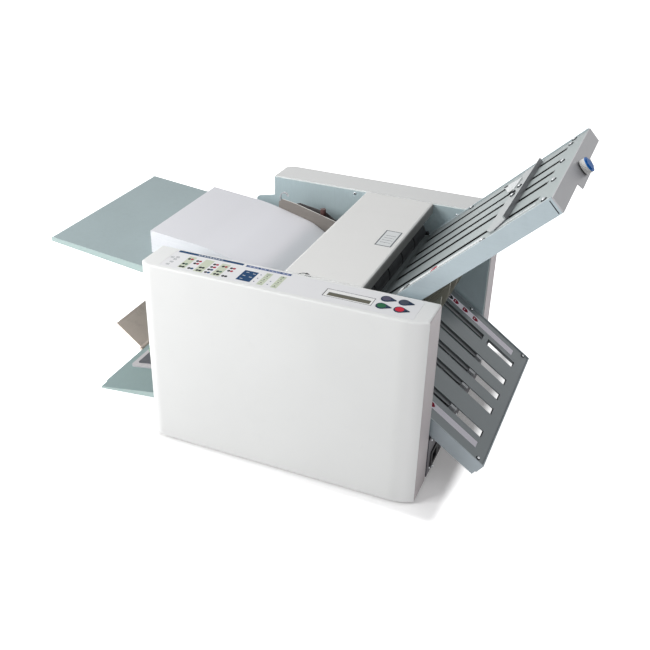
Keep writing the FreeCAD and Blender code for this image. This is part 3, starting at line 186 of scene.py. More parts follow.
class Finish:
    """A material under construction."""

    def __init__(self, name):
        self.material = bpy.data.materials.new(name)
        self.material.use_nodes = True
        self.tree = self.material.node_tree
        self.shader = self.tree.nodes["Principled BSDF"]

    def node(self, kind, settings=None, sockets=None, output=0):
        """Adds a node: its settings first, then its sockets' values or links."""
        made = self.tree.nodes.new("ShaderNode" + kind)
        for name, value in (settings or {}).items():
            setattr(made, name, value)
        for key, value in (sockets or {}).items():
            if isinstance(value, Signal):
                self.tree.links.new(value.socket, made.inputs[key])
            else:
                made.inputs[key].default_value = value
        return Signal(self, made.outputs[output]) if made.outputs else None

    def place(self):
        return self.node("TexCoord", output=3)

    def axis(self, index):
        """Millimetres along one axis of the machine."""
        part = self.node("SeparateXYZ", sockets={0: self.place()}, output=index)
        return (part - START[index]) * (1 / MM)

    def facing(self, x=0.0, y=0.0, z=0.0):
        """How far the surface faces the given way."""
        return self.node(
            "VectorMath", {"operation": "DOT_PRODUCT"},
            {0: self.node("TexCoord", output=1), 1: (x, y, z)}, output=1)

    def noise(self, size, detail=4.0, rough=0.55, stretch=(1, 1, 1)):
        """Cloudy pattern whose lumps are about size millimetres, stretched along an axis."""
        scaled = self.node(
            "VectorMath", {"operation": "MULTIPLY"}, {0: self.place(), 1: tuple(1 / s for s in stretch)})
        return self.node("TexNoise", None, {
            "Vector": scaled, "Scale": 1000.0 / size, "Detail": detail, "Roughness": rough})

    def mix(self, share, first, second):
        return self.node(
            "Mix", {"data_type": "RGBA"}, {0: share, 6: first, 7: second}, output=2)

    def bump(self, height, deep, strength=1.0):
        """Relief whose full height is deep millimetres."""
        return self.node("Bump", None, {
            "Strength": strength, "Distance": deep * MM, "Height": height})

    def set(self, **values):
        """Values and links of the shader's own sockets, named with underscores."""
        for name, value in values.items():
            socket = self.shader.inputs[name.replace("_", " ")]
            if isinstance(value, Signal):
                self.tree.links.new(value.socket, socket)
            else:
                socket.default_value = value
        return self.material


def moulded(name, colour, rough=0.42, grain=0.9, deep=0.03, clouds=0.05, gloss=0.35, end_painted_shading=None):
    """Moulded or powder-coated skin: fine pimples, faint clouds and rubbed patches.

    The argument after gloss gives painted light and shade: a colour for the part that curves towards the right
    end and one for the end itself, lighter or darker as the lamps would light or shade them.
    """
    f = Finish(name)
    cloud = f.noise(140, 3)
    rubbed = f.noise(26, 5, 0.65)
    body = f.mix(cloud, shade(colour, 1 - clouds), shade(colour, 1 + clouds / 2))
    base = f.mix(rubbed.rise(0.56, 0.74) * 0.35, body, shade(colour, 0.95))
    if end_painted_shading:
        # Painted light and shade: faces turning to the right take the lit or shaded colours given for the right
        # end.
        right = f.facing(1, 0, 0)
        base = f.mix(right.rise(0.04, 0.45), base, end_painted_shading[0])
        base = f.mix(right.rise(0.6, 0.85), base, end_painted_shading[1])
    return f.set(
        Base_Color=base, Roughness=rough - 0.06 + 0.14 * rubbed,
        Normal=f.bump(f.noise(grain, 2), deep), Specular_IOR_Level=gloss)


def sheet_steel(name, colour, rough=0.36, metal=0.25, along=(30, 1, 1), painted_shading=None, painted_shading_way=(0, 0, 1),
                painted_shading_from=(0.5, 0.8), deep=0.012, gloss=0.35, drawing=None):
    """Plated or painted steel sheet with a drawn grain, with painted light and shade: the faces that look a
    given way get a second colour, lighter or darker as the lamps would light or shade them.

    drawing may lay further tones on the sheet.
    """
    f = Finish(name)
    drawn = f.noise(1.1, 3, 0.6, along)
    cloud = f.noise(90, 3)
    stain = f.noise(22, 5, 0.7)
    body = f.mix(cloud, shade(colour, 0.92), shade(colour, 1.06))
    body = f.mix(stain.rise(0.52, 0.75) * 0.4, body, shade(colour, 0.88))
    body = f.mix(drawn.rise(0.3, 0.7) * 0.35, body, shade(colour, 1.1))
    if drawing:
        body = drawing(f, body)
    # Painted light and shade on the faces that look the given way.
    if painted_shading:
        body = f.mix(f.facing(*painted_shading_way).rise(*painted_shading_from), body, painted_shading)
    return f.set(
        Base_Color=body, Metallic=metal, Roughness=rough - 0.08 + 0.16 * drawn,
        Normal=f.bump(drawn, deep), Specular_IOR_Level=gloss)


def turned_steel(name, colour, rough=0.26, metal=0.95):
    """Bright bar or pressed part: fine turning rings and light oil stains."""
    f = Finish(name)
    ring = f.noise(0.7, 2, 0.5, (1, 0.12, 1))
    stain = f.noise(9, 4, 0.6)
    base = f.mix(stain.rise(0.45, 0.75), colour, shade(colour, 0.72))
    return f.set(
        Base_Color=base, Metallic=metal, Roughness=rough + 0.2 * ring, Normal=f.bump(ring, 0.01))


def rubber(name, colour, rough=0.78, rib=0.0):
    """Ground rubber with dust in its pores, ribbed round Y where rib gives a pitch."""
    f = Finish(name)
    pore = f.noise(0.8, 4, 0.6)
    dust = f.noise(12, 4, 0.6)
    base = f.mix(dust.rise(0.45, 0.8) * 0.6, colour, shade(colour, 1.9))
    height = pore
    if rib:
        wave = (f.axis(1) * (2 * math.pi / rib)).sine()
        height = pore * 0.3 + wave
    return f.set(
        Base_Color=base, Roughness=rough - 0.1 + 0.18 * dust, Normal=f.bump(height, 0.06))


def ink(name, colour, rough=0.6):
    """Printed ink on a film, slightly uneven."""
    f = Finish(name)
    patch = f.noise(1.6, 3)
    return f.set(
        Base_Color=f.mix(patch, shade(colour, 0.9), shade(colour, 1.08)), Roughness=rough,
        Normal=f.bump(patch, 0.004), Specular_IOR_Level=0.12)


# Mesh work ------------------------------------------------------------------------------------

class Work:
    """A mesh being made, with numbers in the millimetres of the frame given."""

    def __init__(self, frame_matrix):
        self.frame = frame_matrix
        self.mesh = bmesh.new()

    def point(self, x, y, z, turn=None):
        local = Vector((x, y, z))
        if turn is not None:
            local = turn @ local
        return self.mesh.verts.new(self.frame @ local)

    def face(self, corners, finish=0):
        made = self.mesh.faces.new(corners)
        made.material_index = finish
        return made

    def prism(self, outline, low, high, finish=0, turn=None):
        """Outline of (x, y) points carried from low to high."""
        below = [self.point(x, y, low, turn) for x, y in outline]
        above = [self.point(x, y, high, turn) for x, y in outline]
        self.face(list(reversed(below)), finish)
        self.face(above, finish)
        for i, corner in enumerate(below):
            j = (i + 1) % len(below)
            self.face([corner, below[j], above[j], above[i]], finish)

    def slab(self, x0, x1, y0, y1, low, high, finish=0):
        self.prism([(x0, y0), (x1, y0), (x1, y1), (x0, y1)], low, high, finish)

    def turned(self, profile, turn, finish=0, steps=20):
        """Piece turned on its own Z axis from (radius, height) points, closed at both ends."""
        rings = []
        for radius, height in profile:
            if radius < 1e-6:
                rings.append([self.point(0, 0, height, turn)])
                continue
            rings.append([
                self.point(radius * math.cos(a), radius * math.sin(a), height, turn)
                for a in (2 * math.pi * k / steps for k in range(steps))])
        for low, high in zip(rings, rings[1:]):
            for k in range(steps):
                j = (k + 1) % steps
                if len(low) == 1 and len(high) == 1:
                    continue
                if len(low) == 1:
                    self.face([low[0], high[j], high[k]], finish)
                elif len(high) == 1:
                    self.face([low[k], low[j], high[0]], finish)
                else:
                    self.face([low[k], low[j], high[j], high[k]], finish)

    def done(self, name, body, finishes, smooth=35):
        """Turns the work into a piece that rides on a body."""
        bmesh.ops.recalc_face_normals(self.mesh, faces=self.mesh.faces)
        limit = math.radians(smooth)
        for edge in self.mesh.edges:
            edge.smooth = edge.calc_face_angle(0.0) < limit
        for face in self.mesh.faces:
            face.smooth = True
        data = bpy.data.meshes.new(name)
        self.mesh.to_mesh(data)
        self.mesh.free()
        for finish in finishes:
            data.materials.append(finish)
        piece = bpy.data.objects.new(name, data)
        bpy.context.scene.collection.objects.link(piece)
        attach(piece, body)
        return piece


def facing_turn(x, y, z, direction):
    """Turn that lays a piece's own Z along a direction, at a place."""
    return Matrix.Translation((x, y, z)) @ Vector(direction).to_track_quat("Z", "Y").to_matrix().to_4x4()


DOME = [(0, 0.8), (3.3, 0.8), (3.3, 1.9), (2.9, 2.6), (2.0, 3.1), (1.0, 3.35), (0, 3.4)]
SEAT = [(0, -0.4), (5.2, -0.4), (5.2, 0.9), (4.7, 1.3), (0, 1.3)]


def rivets(name, body, frame_matrix, places, direction, size=1.0):
    """Domed rivet heads on dark washers, on one sheet."""
    work = Work(frame_matrix)
    for x, y, z in places:
        turn = facing_turn(x, y, z, direction) @ Matrix.Scale(size, 4)
        work.turned(SEAT, turn, 1)
        work.turned(DOME, turn, 0)
    inks = [bpy.data.materials["rivet_steel"], bpy.data.materials["print_black"]]
    return work.done(name, body, inks)


def screws(name, body, frame_matrix, places, direction, finish, radius=3.2):
    """Cross-headed screws: domed head with a sunk cross."""
    work = Work(frame_matrix)
    for x, y, z in places:
        turn = facing_turn(x, y, z, direction)
        work.turned(
            [(0, -0.4), (radius, -0.4), (radius, 0.3), (radius * 0.85, 1.0), (radius * 0.55, 1.4),
             (radius * 0.42, 1.45), (radius * 0.34, 0.7), (0, 0.5)], turn, 0)
        arm = radius * 0.5
        thin = radius * 0.1
        work.prism([(-arm, -thin), (arm, -thin), (arm, thin), (-arm, thin)], 0.9, 1.52, 1, turn)
        work.prism([(-thin, -arm), (thin, -arm), (thin, arm), (-thin, arm)], 0.9, 1.54, 1, turn)
    return work.done(name, body, [finish, bpy.data.materials["print_black"]])


def dress(finish, *nodes):
    """Gives carried-over nodes a finish."""
    for node in nodes:
        slots = frame["nodes"][node].material_slots
        if not slots:
            frame["nodes"][node].data.materials.append(finish)
        for slot in slots:
            slot.material = finish


# Settings -------------------------------------------------------------------------------------

def colour_setting(name, description, value):
    return bpy.props.FloatVectorProperty(
        name=name, description=description, subtype="COLOR", size=4, min=0, max=1, default=value)


class CoverSettings(bpy.types.PropertyGroup):
    """Housings and lid."""
    colour: colour_setting("Cover", "Moulded skin of the two housings", tone(0.912, 0.914, 0.908))
    lid: colour_setting("Lid", "Top lid between the housings", tone(0.912, 0.91, 0.90))
    grain: bpy.props.FloatProperty(
        name="Grain", description="Size of the pimples in the moulded skin, in millimetres", default=0.9,
        min=0.2, max=5)


class PrintSettings(bpy.types.PropertyGroup):
    """Printing on the panel and the plates."""
    blue: colour_setting("Blue", "Dark blue of the panel's strips and block", tone(0.13, 0.27, 0.42))
    red: colour_setting("Red", "Red marks", tone(0.66, 0.16, 0.26))
    green: colour_setting("Green", "Pale green fields", tone(0.80, 0.825, 0.745))


class SteelSettings(bpy.types.PropertyGroup):
    """Sheet metal."""
    tray: colour_setting("Tray", "Paint of the feed and delivery trays", tone(0.61, 0.67, 0.678))
    # Painted light: the tray paint as it looks when lit, on the lips that face the front.
    painted_shading: colour_setting("Tray lip", "Paint of the tray lips in the light", tone(0.665, 0.74, 0.73))
    plate: colour_setting("Upper plate", "Upper fold plate", tone(0.655, 0.69, 0.688))
    lower: colour_setting("Lower plate", "Lower fold plate", tone(0.50, 0.525, 0.535))
    frame: colour_setting("Frame", "Side frames", tone(0.745, 0.81, 0.825))


class PaperSettings(bpy.types.PropertyGroup):
    """The loaded stack."""
    colour: colour_setting("Paper", "Office paper", tone(0.93, 0.93, 0.945))
    layers: bpy.props.IntProperty(
        name="Layers", description="Visible layers in the stack", default=56, min=8, max=200)


class StageSettings(bpy.types.PropertyGroup):
    """Studio."""
    ambient: bpy.props.FloatProperty(
        name="Ambient", description="Even light from all round", default=0.45, min=0, max=2)
    key: bpy.props.FloatProperty(
        name="Key", description="Power of the large lamp overhead on the left", default=8.0, min=0,
        unit="POWER")
    fill: bpy.props.FloatProperty(
        name="Fill", description="Power of the large lamp before the machine", default=16.8, min=0,
        unit="POWER")
    side: bpy.props.FloatProperty(
        name="Side", description="Power of the low lamp at the left", default=6.0, min=0, unit="POWER")


SETTINGS = {
    "folder_covers": CoverSettings, "folder_print": PrintSettings, "folder_steel": SteelSettings,
    "folder_paper": PaperSettings, "folder_stage": StageSettings,
}


def settings(name):
    return getattr(bpy.context.scene, name)


# Pieces ---------------------------------------------------------------------------------------

class FOLDER_OT_inks(bpy.types.Operator):
    """Mix the printing inks and small-part finishes that several pieces share"""
    bl_idname = "folder.inks"
    bl_label = "Inks and small parts"

    def execute(self, context):
        chosen = settings("folder_print")
        ink("print_blue", tuple(chosen.blue))
        ink("print_red", tuple(chosen.red))
        ink("print_green", tuple(chosen.green))
        ink("print_black", tone(0.13, 0.14, 0.16), 0.6)
        ink("print_grey", tone(0.40, 0.42, 0.44))
        ink("print_pale", tone(0.88, 0.89, 0.89), 0.5)
        ink("print_slate", tone(0.44, 0.49, 0.63))
        ink("print_lilac", tone(0.97, 0.95, 1.0), 0.5)
        ink("print_wine", tone(0.52, 0.05, 0.18))
        ink("print_leaf", tone(0.28, 0.42, 0.36))
        turned_steel("rivet_steel", tone(0.80, 0.81, 0.82))
        turned_steel("bar_steel", tone(0.70, 0.71, 0.72))
        moulded("dark_moulding", tone(0.17, 0.17, 0.18), 0.5, 0.6, 0.05)
        return {"FINISHED"}


class FOLDER_OT_covers(bpy.types.Operator):
    """Finish both housings and the lid, with the lid's plain label"""
    bl_idname = "folder.covers"
    bl_label = "Housings and lid"

    def execute(self, context):
        chosen = settings("folder_covers")
        colour = tuple(chosen.colour)
        # Painted light and shade: the front cover gets a painted highlight where it curves towards its right
        # end and painted shade on the right end; the rear cover and the lid get painted shade on their right
        # ends.
        dress(moulded("cover_skin", colour, 0.45, chosen.grain,
                      end_painted_shading=(tone(0.985, 0.985, 0.98), tone(0.845, 0.812, 0.815))), "front_cover")
        dress(moulded("rear_cover_skin", shade(colour, 0.93), 0.45, chosen.grain,
                      end_painted_shading=(shade(colour, 0.9), tone(0.765, 0.725, 0.735))), "rear_cover")
        lid = tuple(chosen.lid)
        dress(moulded("lid_skin", lid, 0.45, chosen.grain, end_painted_shading=(lid, shade(lid, 0.3))), "top_lid")
        dress(moulded("overlay_film", tone(0.90, 0.90, 0.905), 0.4, 0.5, 0.008, 0.02, 0.2),
              "control_overlay")
        work = Work(level())
        z = HOUSING_TOP
        work.slab(71, 98, 211, 271, z - 0.2, z + PRINT_LIFT, 0)
        work.slab(73, 96, 213, 269, z, z + 2 * PRINT_LIFT, 1)
        for k in range(4):
            work.slab(76, 93, 224 + 9 * k, 224.8 + 9 * k, z, z + 3 * PRINT_LIFT, 0)
        inks = [bpy.data.materials["print_grey"], bpy.data.materials["print_pale"]]
        work.done("lid_plain_label", "lid", inks)
        work = Work(level() @ Matrix.Rotation(-math.pi / 2, 4, "X"))
        for x, z in ((-150, 52), (150, 52), (-150, 282), (150, 282)):
            there = Matrix.Translation((x, -z, REAR_FACE))
            work.turned([(0, -0.5), (7.0, -0.5), (7.0, 0.25), (6.2, 0.45), (4.4, 0.45), (4.2, 0.1), (0, 0.1)],
                        there, 0)
            work.turned([(0, 0.05), (3.8, 0.05), (3.6, 0.7), (2.0, 0.95), (1.2, 0.95), (1.0, 0.4), (0, 0.3)],
                        there, 1)
        finishes = [bpy.data.materials["cover_skin"], bpy.data.materials["rivet_steel"]]
        work.done("rear_cover_screws", "housing", finishes)
        return {"FINISHED"}


class FOLDER_OT_panel(bpy.types.Operator):
    """Print the control panel with plain fields, strips and marks"""
    bl_idname = "folder.panel"
    bl_label = "Panel print"

    def mark(self, work, x, y, finish):
        """Two-lobed plain sign: a dark lobe and a coloured one."""
        low, high = HOUSING_TOP - 0.1, HOUSING_TOP + 3 * PRINT_LIFT
        for shift, half, ink_kind in ((-2.2, 2.3, 3), (2.3, 2.3, finish)):
            ring = [(x + shift + half * math.cos(a), y + 2.6 * math.sin(a) + 0.1 * shift)
                    for a in (math.pi / 5 * k for k in range(10))]
            work.prism(ring, low, high, ink_kind)

    def execute(self, context):
        work = Work(level())
        low, high = HOUSING_TOP - 0.1, HOUSING_TOP + PRINT_LIFT
        upper = high + PRINT_LIFT
        blue, red, green, black, grey, pale, slate, leaf = range(8)
        work.slab(-188, -79, 57.2, 63.2, low, high, blue)
        for k in range(9):
            work.slab(-155 + 4.8 * k, -152 + 4.8 * k, 59.4, 61.2, low, upper, pale)
        work.slab(-74, -1, 55.8, 61.8, low, high, slate)
        for x in (-73.6, -53.5, -39.8, -19, -4):
            work.slab(x, x + 2.6, 57.2, 60.6, low, upper, blue)
        for k in range(11):
            work.slab(-68 + 6 * k, -66 + 6 * k, 58.2, 59.4, low, upper, pale)
        work.slab(-68.8, -46.6, 13.6, 45.6, low, high, blue)
        for x, y in ((-62, 40), (-63, 29.2), (-62.5, 19.1), (-51, 39), (-52, 27.8)):
            work.slab(x - 2.2, x + 2.2, y - 0.5, y + 0.6, low, upper, pale)
        for x0, x1, y0, y1 in ((-164, -152, 12, 51.5), (-137, -122.5, 10.5, 52), (-108.6, -94.8, 10, 50.5)):
            work.slab(x0, x1, y0, y1, low, high, green)
        signs = {
            -158.5: {42.9: red, 25.6: leaf, 16: black}, -144: {41.9: red, 33.3: red, 16.2: blue},
            -130: {25.1: black, 15.4: black}, -115.8: {42.6: red, 33.5: red, 24.7: blue, 15.1: blue},
            -101: {41.9: red, 24.7: leaf, 15.4: black}, -87.5: {41.9: red, 33.1: red, 15: black}}
        for x, column in signs.items():
            for y, finish in column.items():
                self.mark(work, x, y, finish)
        for x, y in ((-186.9, 38.1), (-179.4, 41), (-179.8, 33.3), (-180.4, 24), (-181.6, 15)):
            for a, b, c, d in ((-2.4, 2.4, -2, -1.5), (-2.4, 2.4, 1.5, 2), (-2.4, -1.9, -2, 2),
                               (1.9, 2.4, -2, 2)):
                work.slab(x + a, x + b, y + c, y + d, low, high, grey)
            work.slab(x - 0.8, x + 0.8, y - 0.5, y + 0.5, low, high, grey)
        for x0, x1, y0, y1, rows in ((-35.6, -25.8, 12, 50.6, (39.7, 29.4, 19.5)),
                                     (-13.6, -3.9, 12, 50.4, (48, 39.5, 29.6, 18.2))):
            work.slab(x0, x1, y0, y1, low, high, green)
            for k, y in enumerate((46.5, 43.5, 34.6, 24.6, 15)):
                work.slab(x0 + 1.6, x1 - 1.8 - k % 2, y, y + 0.7, low, upper, leaf)
            for y in rows:
                work.slab(x0 + 4, x0 + 5.8, y - 0.8, y + 0.8, low, upper + PRINT_LIFT, black)
        for x, y in ((-41.1, 40.9), (-41.2, 29.6), (-41.9, 18.6), (-20, 28.6), (-20.3, 18.3)):
            work.slab(x - 0.9, x + 0.9, y - 0.9, y + 0.9, low, high, blue)
        bow = [(6, 66.5), (8, 70), (10.6, 72.2), (14, 73.2), (17, 73)]
        for a, b in zip(bow, bow[1:]):
            work.prism([(a[0], a[1] - 1.0), (b[0], b[1] - 1.0), (b[0], b[1] + 1.0), (a[0], a[1] + 1.0)],
                       low, high, black)
        work.prism([(15.6, 76), (15.6, 70.4), (22.4, 72)], low, high, black)
        for k in range(4):
            work.slab(16.5 + 2.6 * k, 18.2 + 2.6 * k, 65.4, 67.6, low, high, grey)
        x0, x1, y0, y1 = 62.2, 134.8, 21.6, 43.8
        for a, b, c, d in ((x0, x1, y0, y0 + 0.7), (x0, x1, y1 - 0.7, y1), (x0, x0 + 0.7, y0, y1),
                           (x1 - 0.7, x1, y0, y1)):
            work.slab(a, b, c, d, low, high, black)
        names = ("blue", "red", "green", "black", "grey", "pale", "slate", "leaf")
        work.done("panel_print", "housing", [bpy.data.materials["print_" + n] for n in names])
        return {"FINISHED"}


class FOLDER_OT_keys(bpy.types.Operator):
    """Finish the four keys in two tones, the display and the board"""
    bl_idname = "folder.keys"
    bl_label = "Keys and display"

    def key(self, node, colour):
        """Coloured key with a dark tip towards the right."""
        x, y = KEY_PLACES[node]
        f = Finish(node + "_moulding")
        dx = f.axis(0) - (x + 0.5)
        dy = f.axis(1) - y
        far = (dx * dx + dy * dy).root()
        tip = far.rise(*KEY_TIP)
        fine = f.noise(0.8, 2)
        body = f.mix(fine, shade(colour, 0.92), shade(colour, 1.06))
        f.set(Base_Color=f.mix(tip, body, tone(0.08, 0.17, 0.27)), Roughness=0.34 + 0.1 * fine,
              Normal=f.bump(fine, 0.02), Specular_IOR_Level=0.12)
        dress(f.material, node)

    def execute(self, context):
        self.key("count_button", tone(0.29, 0.28, 0.37))
        self.key("test_button", tone(0.22, 0.25, 0.31))
        self.key("start_button", tone(0.04, 0.38, 0.22))
        self.key("stop_button", tone(0.80, 0.08, 0.20))
        f = Finish("display_lens")
        x = f.axis(0)
        y = f.axis(1)
        inside = x.rise(67.6, 68.1) * (1 - x.rise(130.8, 131.3)) * y.rise(25.0, 25.4) * (1 - y.rise(34.9, 35.3))
        shine = f.noise(9, 2)
        dark = f.mix(shine, tone(0.27, 0.26, 0.20), tone(0.36, 0.35, 0.28))
        # Painted shadow of the bezel: a band along the top inside the window keeps the darker colour, and below
        # it the screen gets the olive colour.
        edge = inside * (1 - y.rise(33.0, 34.4))
        base = f.mix(inside, tone(0.93, 0.93, 0.92), tone(0.20, 0.20, 0.18))
        f.set(Base_Color=f.mix(edge, base, dark), Roughness=0.3 - 0.15 * inside,
              Coat_Weight=inside * 0.15, Specular_IOR_Level=0.2)
        dress(f.material, "display_window")
        dress(moulded("board_laminate", tone(0.16, 0.33, 0.22), 0.5, 0.8, 0.04), "control_board")
        return {"FINISHED"}


class FOLDER_OT_trays(bpy.types.Operator):
    """Finish the feed tray, the delivery tray, its extension, bed and pad"""
    bl_idname = "folder.trays"
    bl_label = "Trays"

    def execute(self, context):
        chosen = settings("folder_steel")
        painted_shading = tuple(chosen.painted_shading)
        # Painted light on the front-facing lips of both trays.
        sheet = sheet_steel(
            "feed_tray_paint", tuple(chosen.tray), 0.42, 0.1, (6, 6, 6), painted_shading, (0, -1, 0), (0.5, 0.8))
        dress(sheet, "feed_tray")
        green = sheet_steel(
            "delivery_paint", tone(0.525, 0.605, 0.605), 0.42, 0.1, (6, 6, 6), painted_shading, (0, -1, 0), (0.5, 0.8))
        dress(green, "delivery_tray", "delivery_extension")
        dress(moulded("bed_moulding", tone(0.745, 0.735, 0.745), 0.45, 0.7), "delivery_bed")
        dress(rubber("pad_rubber", tone(0.34, 0.35, 0.37)), "delivery_pad")
        return {"FINISHED"}


class FOLDER_OT_paper(bpy.types.Operator):
    """Lay the fanned stack of sheets on the feed table"""
    bl_idname = "folder.paper"
    bl_label = "Paper stack"

    def execute(self, context):
        chosen = settings("folder_paper")
        low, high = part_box("paper_stack")
        tail = (low.x - START.x) / MM
        lead = (high.x - START.x) / MM
        near = (low.y - START.y) / MM
        far = (high.y - START.y) / MM
        full = STACK_HEIGHT
        knee = STACK_KNEE

        def table(x):
            start, level_there, fall = TABLE
            return level_there - fall * (x - start) + 0.3

        def height(x):
            """Thickness of the stack over the table, thinning where the sheets fan out."""
            marks = [(knee, full), *STACK_FANNING, (lead, STACK_LEAD)]
            if x <= knee:
                return full
            for (p, low_end), (q, high_end) in zip(marks, marks[1:]):
                if x <= q:
                    return low_end + (high_end - low_end) * (x - p) / (q - p)
            return marks[-1][1]

        spread = random.Random(7)
        count = chosen.layers
        thick = full / count
        stations = [tail + (knee - tail) * k / 4 for k in range(4)]
        stations += [knee + (lead - knee) * k / 26 for k in range(27)]
        work = Work(level())
        for k in range(count):
            drop = (count - 1 - k) * thick
            run = [x for x in stations if height(x) - drop > thick * 0.4]
            slip = spread.uniform(0, 0.5)
            near_edge = near + spread.uniform(0, 0.45)
            far_edge = far - spread.uniform(0, 0.45)
            xs = [run[0] + slip] + run[1:]
            rows = []
            for x in xs:
                top = table(x) + height(x) - drop
                foot = max(table(x), top - thick * 0.97)
                rows.append([
                    work.point(x, near_edge, foot), work.point(x, far_edge, foot),
                    work.point(x, far_edge, top), work.point(x, near_edge, top)])
            for a, b in zip(rows, rows[1:]):
                for i in range(4):
                    j = (i + 1) % 4
                    work.face([a[i], a[j], b[j], b[i]])
            work.face(list(reversed(rows[0])))
            work.face(rows[-1])
        f = Finish("office_paper")
        fibre = f.noise(1.3, 4)
        layer = f.noise(1.0, 2, 0.5, (60, 60, 1))
        colour = tuple(chosen.colour)
        # Painted light and shade: the top is painted darker than the paper colour, lighter again from x -215
        # towards the lead and lighter still over the steep drop from x -100; the sheet edges on the sides are
        # painted lighter than the top.
        side = 1 - f.facing(0, 0, 1).rise(0.4, 0.7)
        top = shade(colour, 0.94)
        flat = f.mix(fibre, shade(top, 0.985), top)
        flat = f.mix(f.axis(0).rise(-215, -150), flat, shade(colour, 1.065))
        flat = f.mix(f.axis(0).rise(-100, -78), flat, tone(0.97, 0.985, 1.0))
        base = f.mix(side, flat, f.mix(layer, shade(colour, 0.98), tone(0.955, 0.96, 0.97)))
        f.set(Base_Color=base, Roughness=0.86, Specular_IOR_Level=0.25, Normal=f.bump(fibre, 0.01))
        stack = work.done("paper_sheets", "stack", [f.material], 30)
        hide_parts("paper_stack")
        return {"FINISHED"}


class FOLDER_OT_feed(bpy.types.Operator):
    """Finish the feed table, the side guides, their knobs, the separator and the feed tyres"""
    bl_idname = "folder.feed"
    bl_label = "Feed"

    def execute(self, context):
        dress(sheet_steel("table_steel", tone(0.50, 0.49, 0.48), 0.34, 0.4), "feed_table")
        f = Finish("guide_steel")
        drawn = f.noise(1.0, 3, 0.6, (40, 1, 1))
        rise = f.axis(2) + 0.1 * (f.axis(0) + 158) - 247
        shadow = rise.rise(34, 4)
        body = f.mix(drawn, tone(0.50, 0.475, 0.455), tone(0.60, 0.575, 0.55))
        body = f.mix(shadow * 0.5, body, tone(0.30, 0.29, 0.285))
        # Painted highlight: faces of the guides that look up are near white.
        painted_top_highlight = f.facing(0, 0, 1).rise(0.6, 0.9)
        f.set(Base_Color=f.mix(painted_top_highlight, body, tone(0.90, 0.89, 0.87)), Metallic=0.3,
              Roughness=0.34 + 0.12 * drawn, Normal=f.bump(drawn, 0.01))
        dress(f.material, "front_side_guide", "rear_side_guide")
        upright = level() @ Matrix.Rotation(math.pi / 2, 4, "X")
        work = Work(upright)
        outer = [(-155.6, 296), (-156.4, 303), (-154, 309.6), (-148.6, 313), (-142.6, 311.6),
                 (-139.4, 306.6)]
        inner = [(-141.2, 306.0), (-143.6, 310.0), (-148.4, 311.2), (-152.6, 308.4), (-154.6, 303),
                 (-153.8, 296)]
        for k in range(5):
            work.prism([outer[k], outer[k + 1], inner[4 - k], inner[5 - k]], -352.4, -348.6, 0)
        work.prism([(-132, 247.7), (-132, 287.7), (-125, 289.7), (-75, 281.2), (-53, 267.2), (-53, 239.8)],
                   -368.9, -367.7, 1)
        finishes = [bpy.data.materials["rivet_steel"],
                    sheet_steel("backing_steel", tone(0.42, 0.41, 0.41), 0.45, 0.2)]
        work.done("rear_guide_backing", "rear_guide", finishes)
        dress(moulded("knob_moulding", tone(0.36, 0.25, 0.24), 0.4, 0.6, 0.05), "front_guide_knob",
              "rear_guide_knob")
        dress(bpy.data.materials["dark_moulding"], "separator", "lid_switch")
        dress(rubber("tyre_rubber", tone(0.27, 0.28, 0.29), 0.8, 2.4), "feed_roller")
        return {"FINISHED"}


class FOLDER_OT_drive(bpy.types.Operator):
    """Finish the fold rollers, gears, belts, motor, bushes and shafts"""
    bl_idname = "folder.drive"
    bl_label = "Rollers and drive"

    def execute(self, context):
        f = Finish("roller_cover")
        y = f.axis(1)
        band = y.rise(84, 84.6) * (1 - y.rise(397.4, 398))
        pore = f.noise(0.9, 4)
        dust = f.noise(18, 4)
        body = f.mix(dust.rise(0.4, 0.8) * 0.6, tone(0.20, 0.21, 0.22), tone(0.30, 0.31, 0.32))
        twist = (y * (math.pi / 3)).sine()
        f.set(Base_Color=f.mix(band, tone(0.72, 0.73, 0.74), body), Metallic=1 - band,
              Roughness=0.28 + band * 0.36 + 0.1 * dust, Normal=f.bump(band * (twist * 0.5 + pore), 0.12))
        dress(f.material, *("fold_roller_%d" % n for n in (1, 2, 3, 4)))
        dress(turned_steel("gear_steel", tone(0.62, 0.63, 0.63), 0.34),
              *("roller_gear_%d" % n for n in (1, 2, 3, 4)), "motor_pulley")
        dress(rubber("belt_rubber", tone(0.12, 0.12, 0.13), 0.7, 3.0), "drive_belts")
        dress(sheet_steel("motor_can", tone(0.34, 0.36, 0.37), 0.4, 0.6, (1, 12, 1)), "drive_motor")
        dress(turned_steel("bush_bronze", tone(0.72, 0.58, 0.36), 0.3), "roller_bushes")
        dress(bpy.data.materials["bar_steel"], "tie_bars")
        return {"FINISHED"}


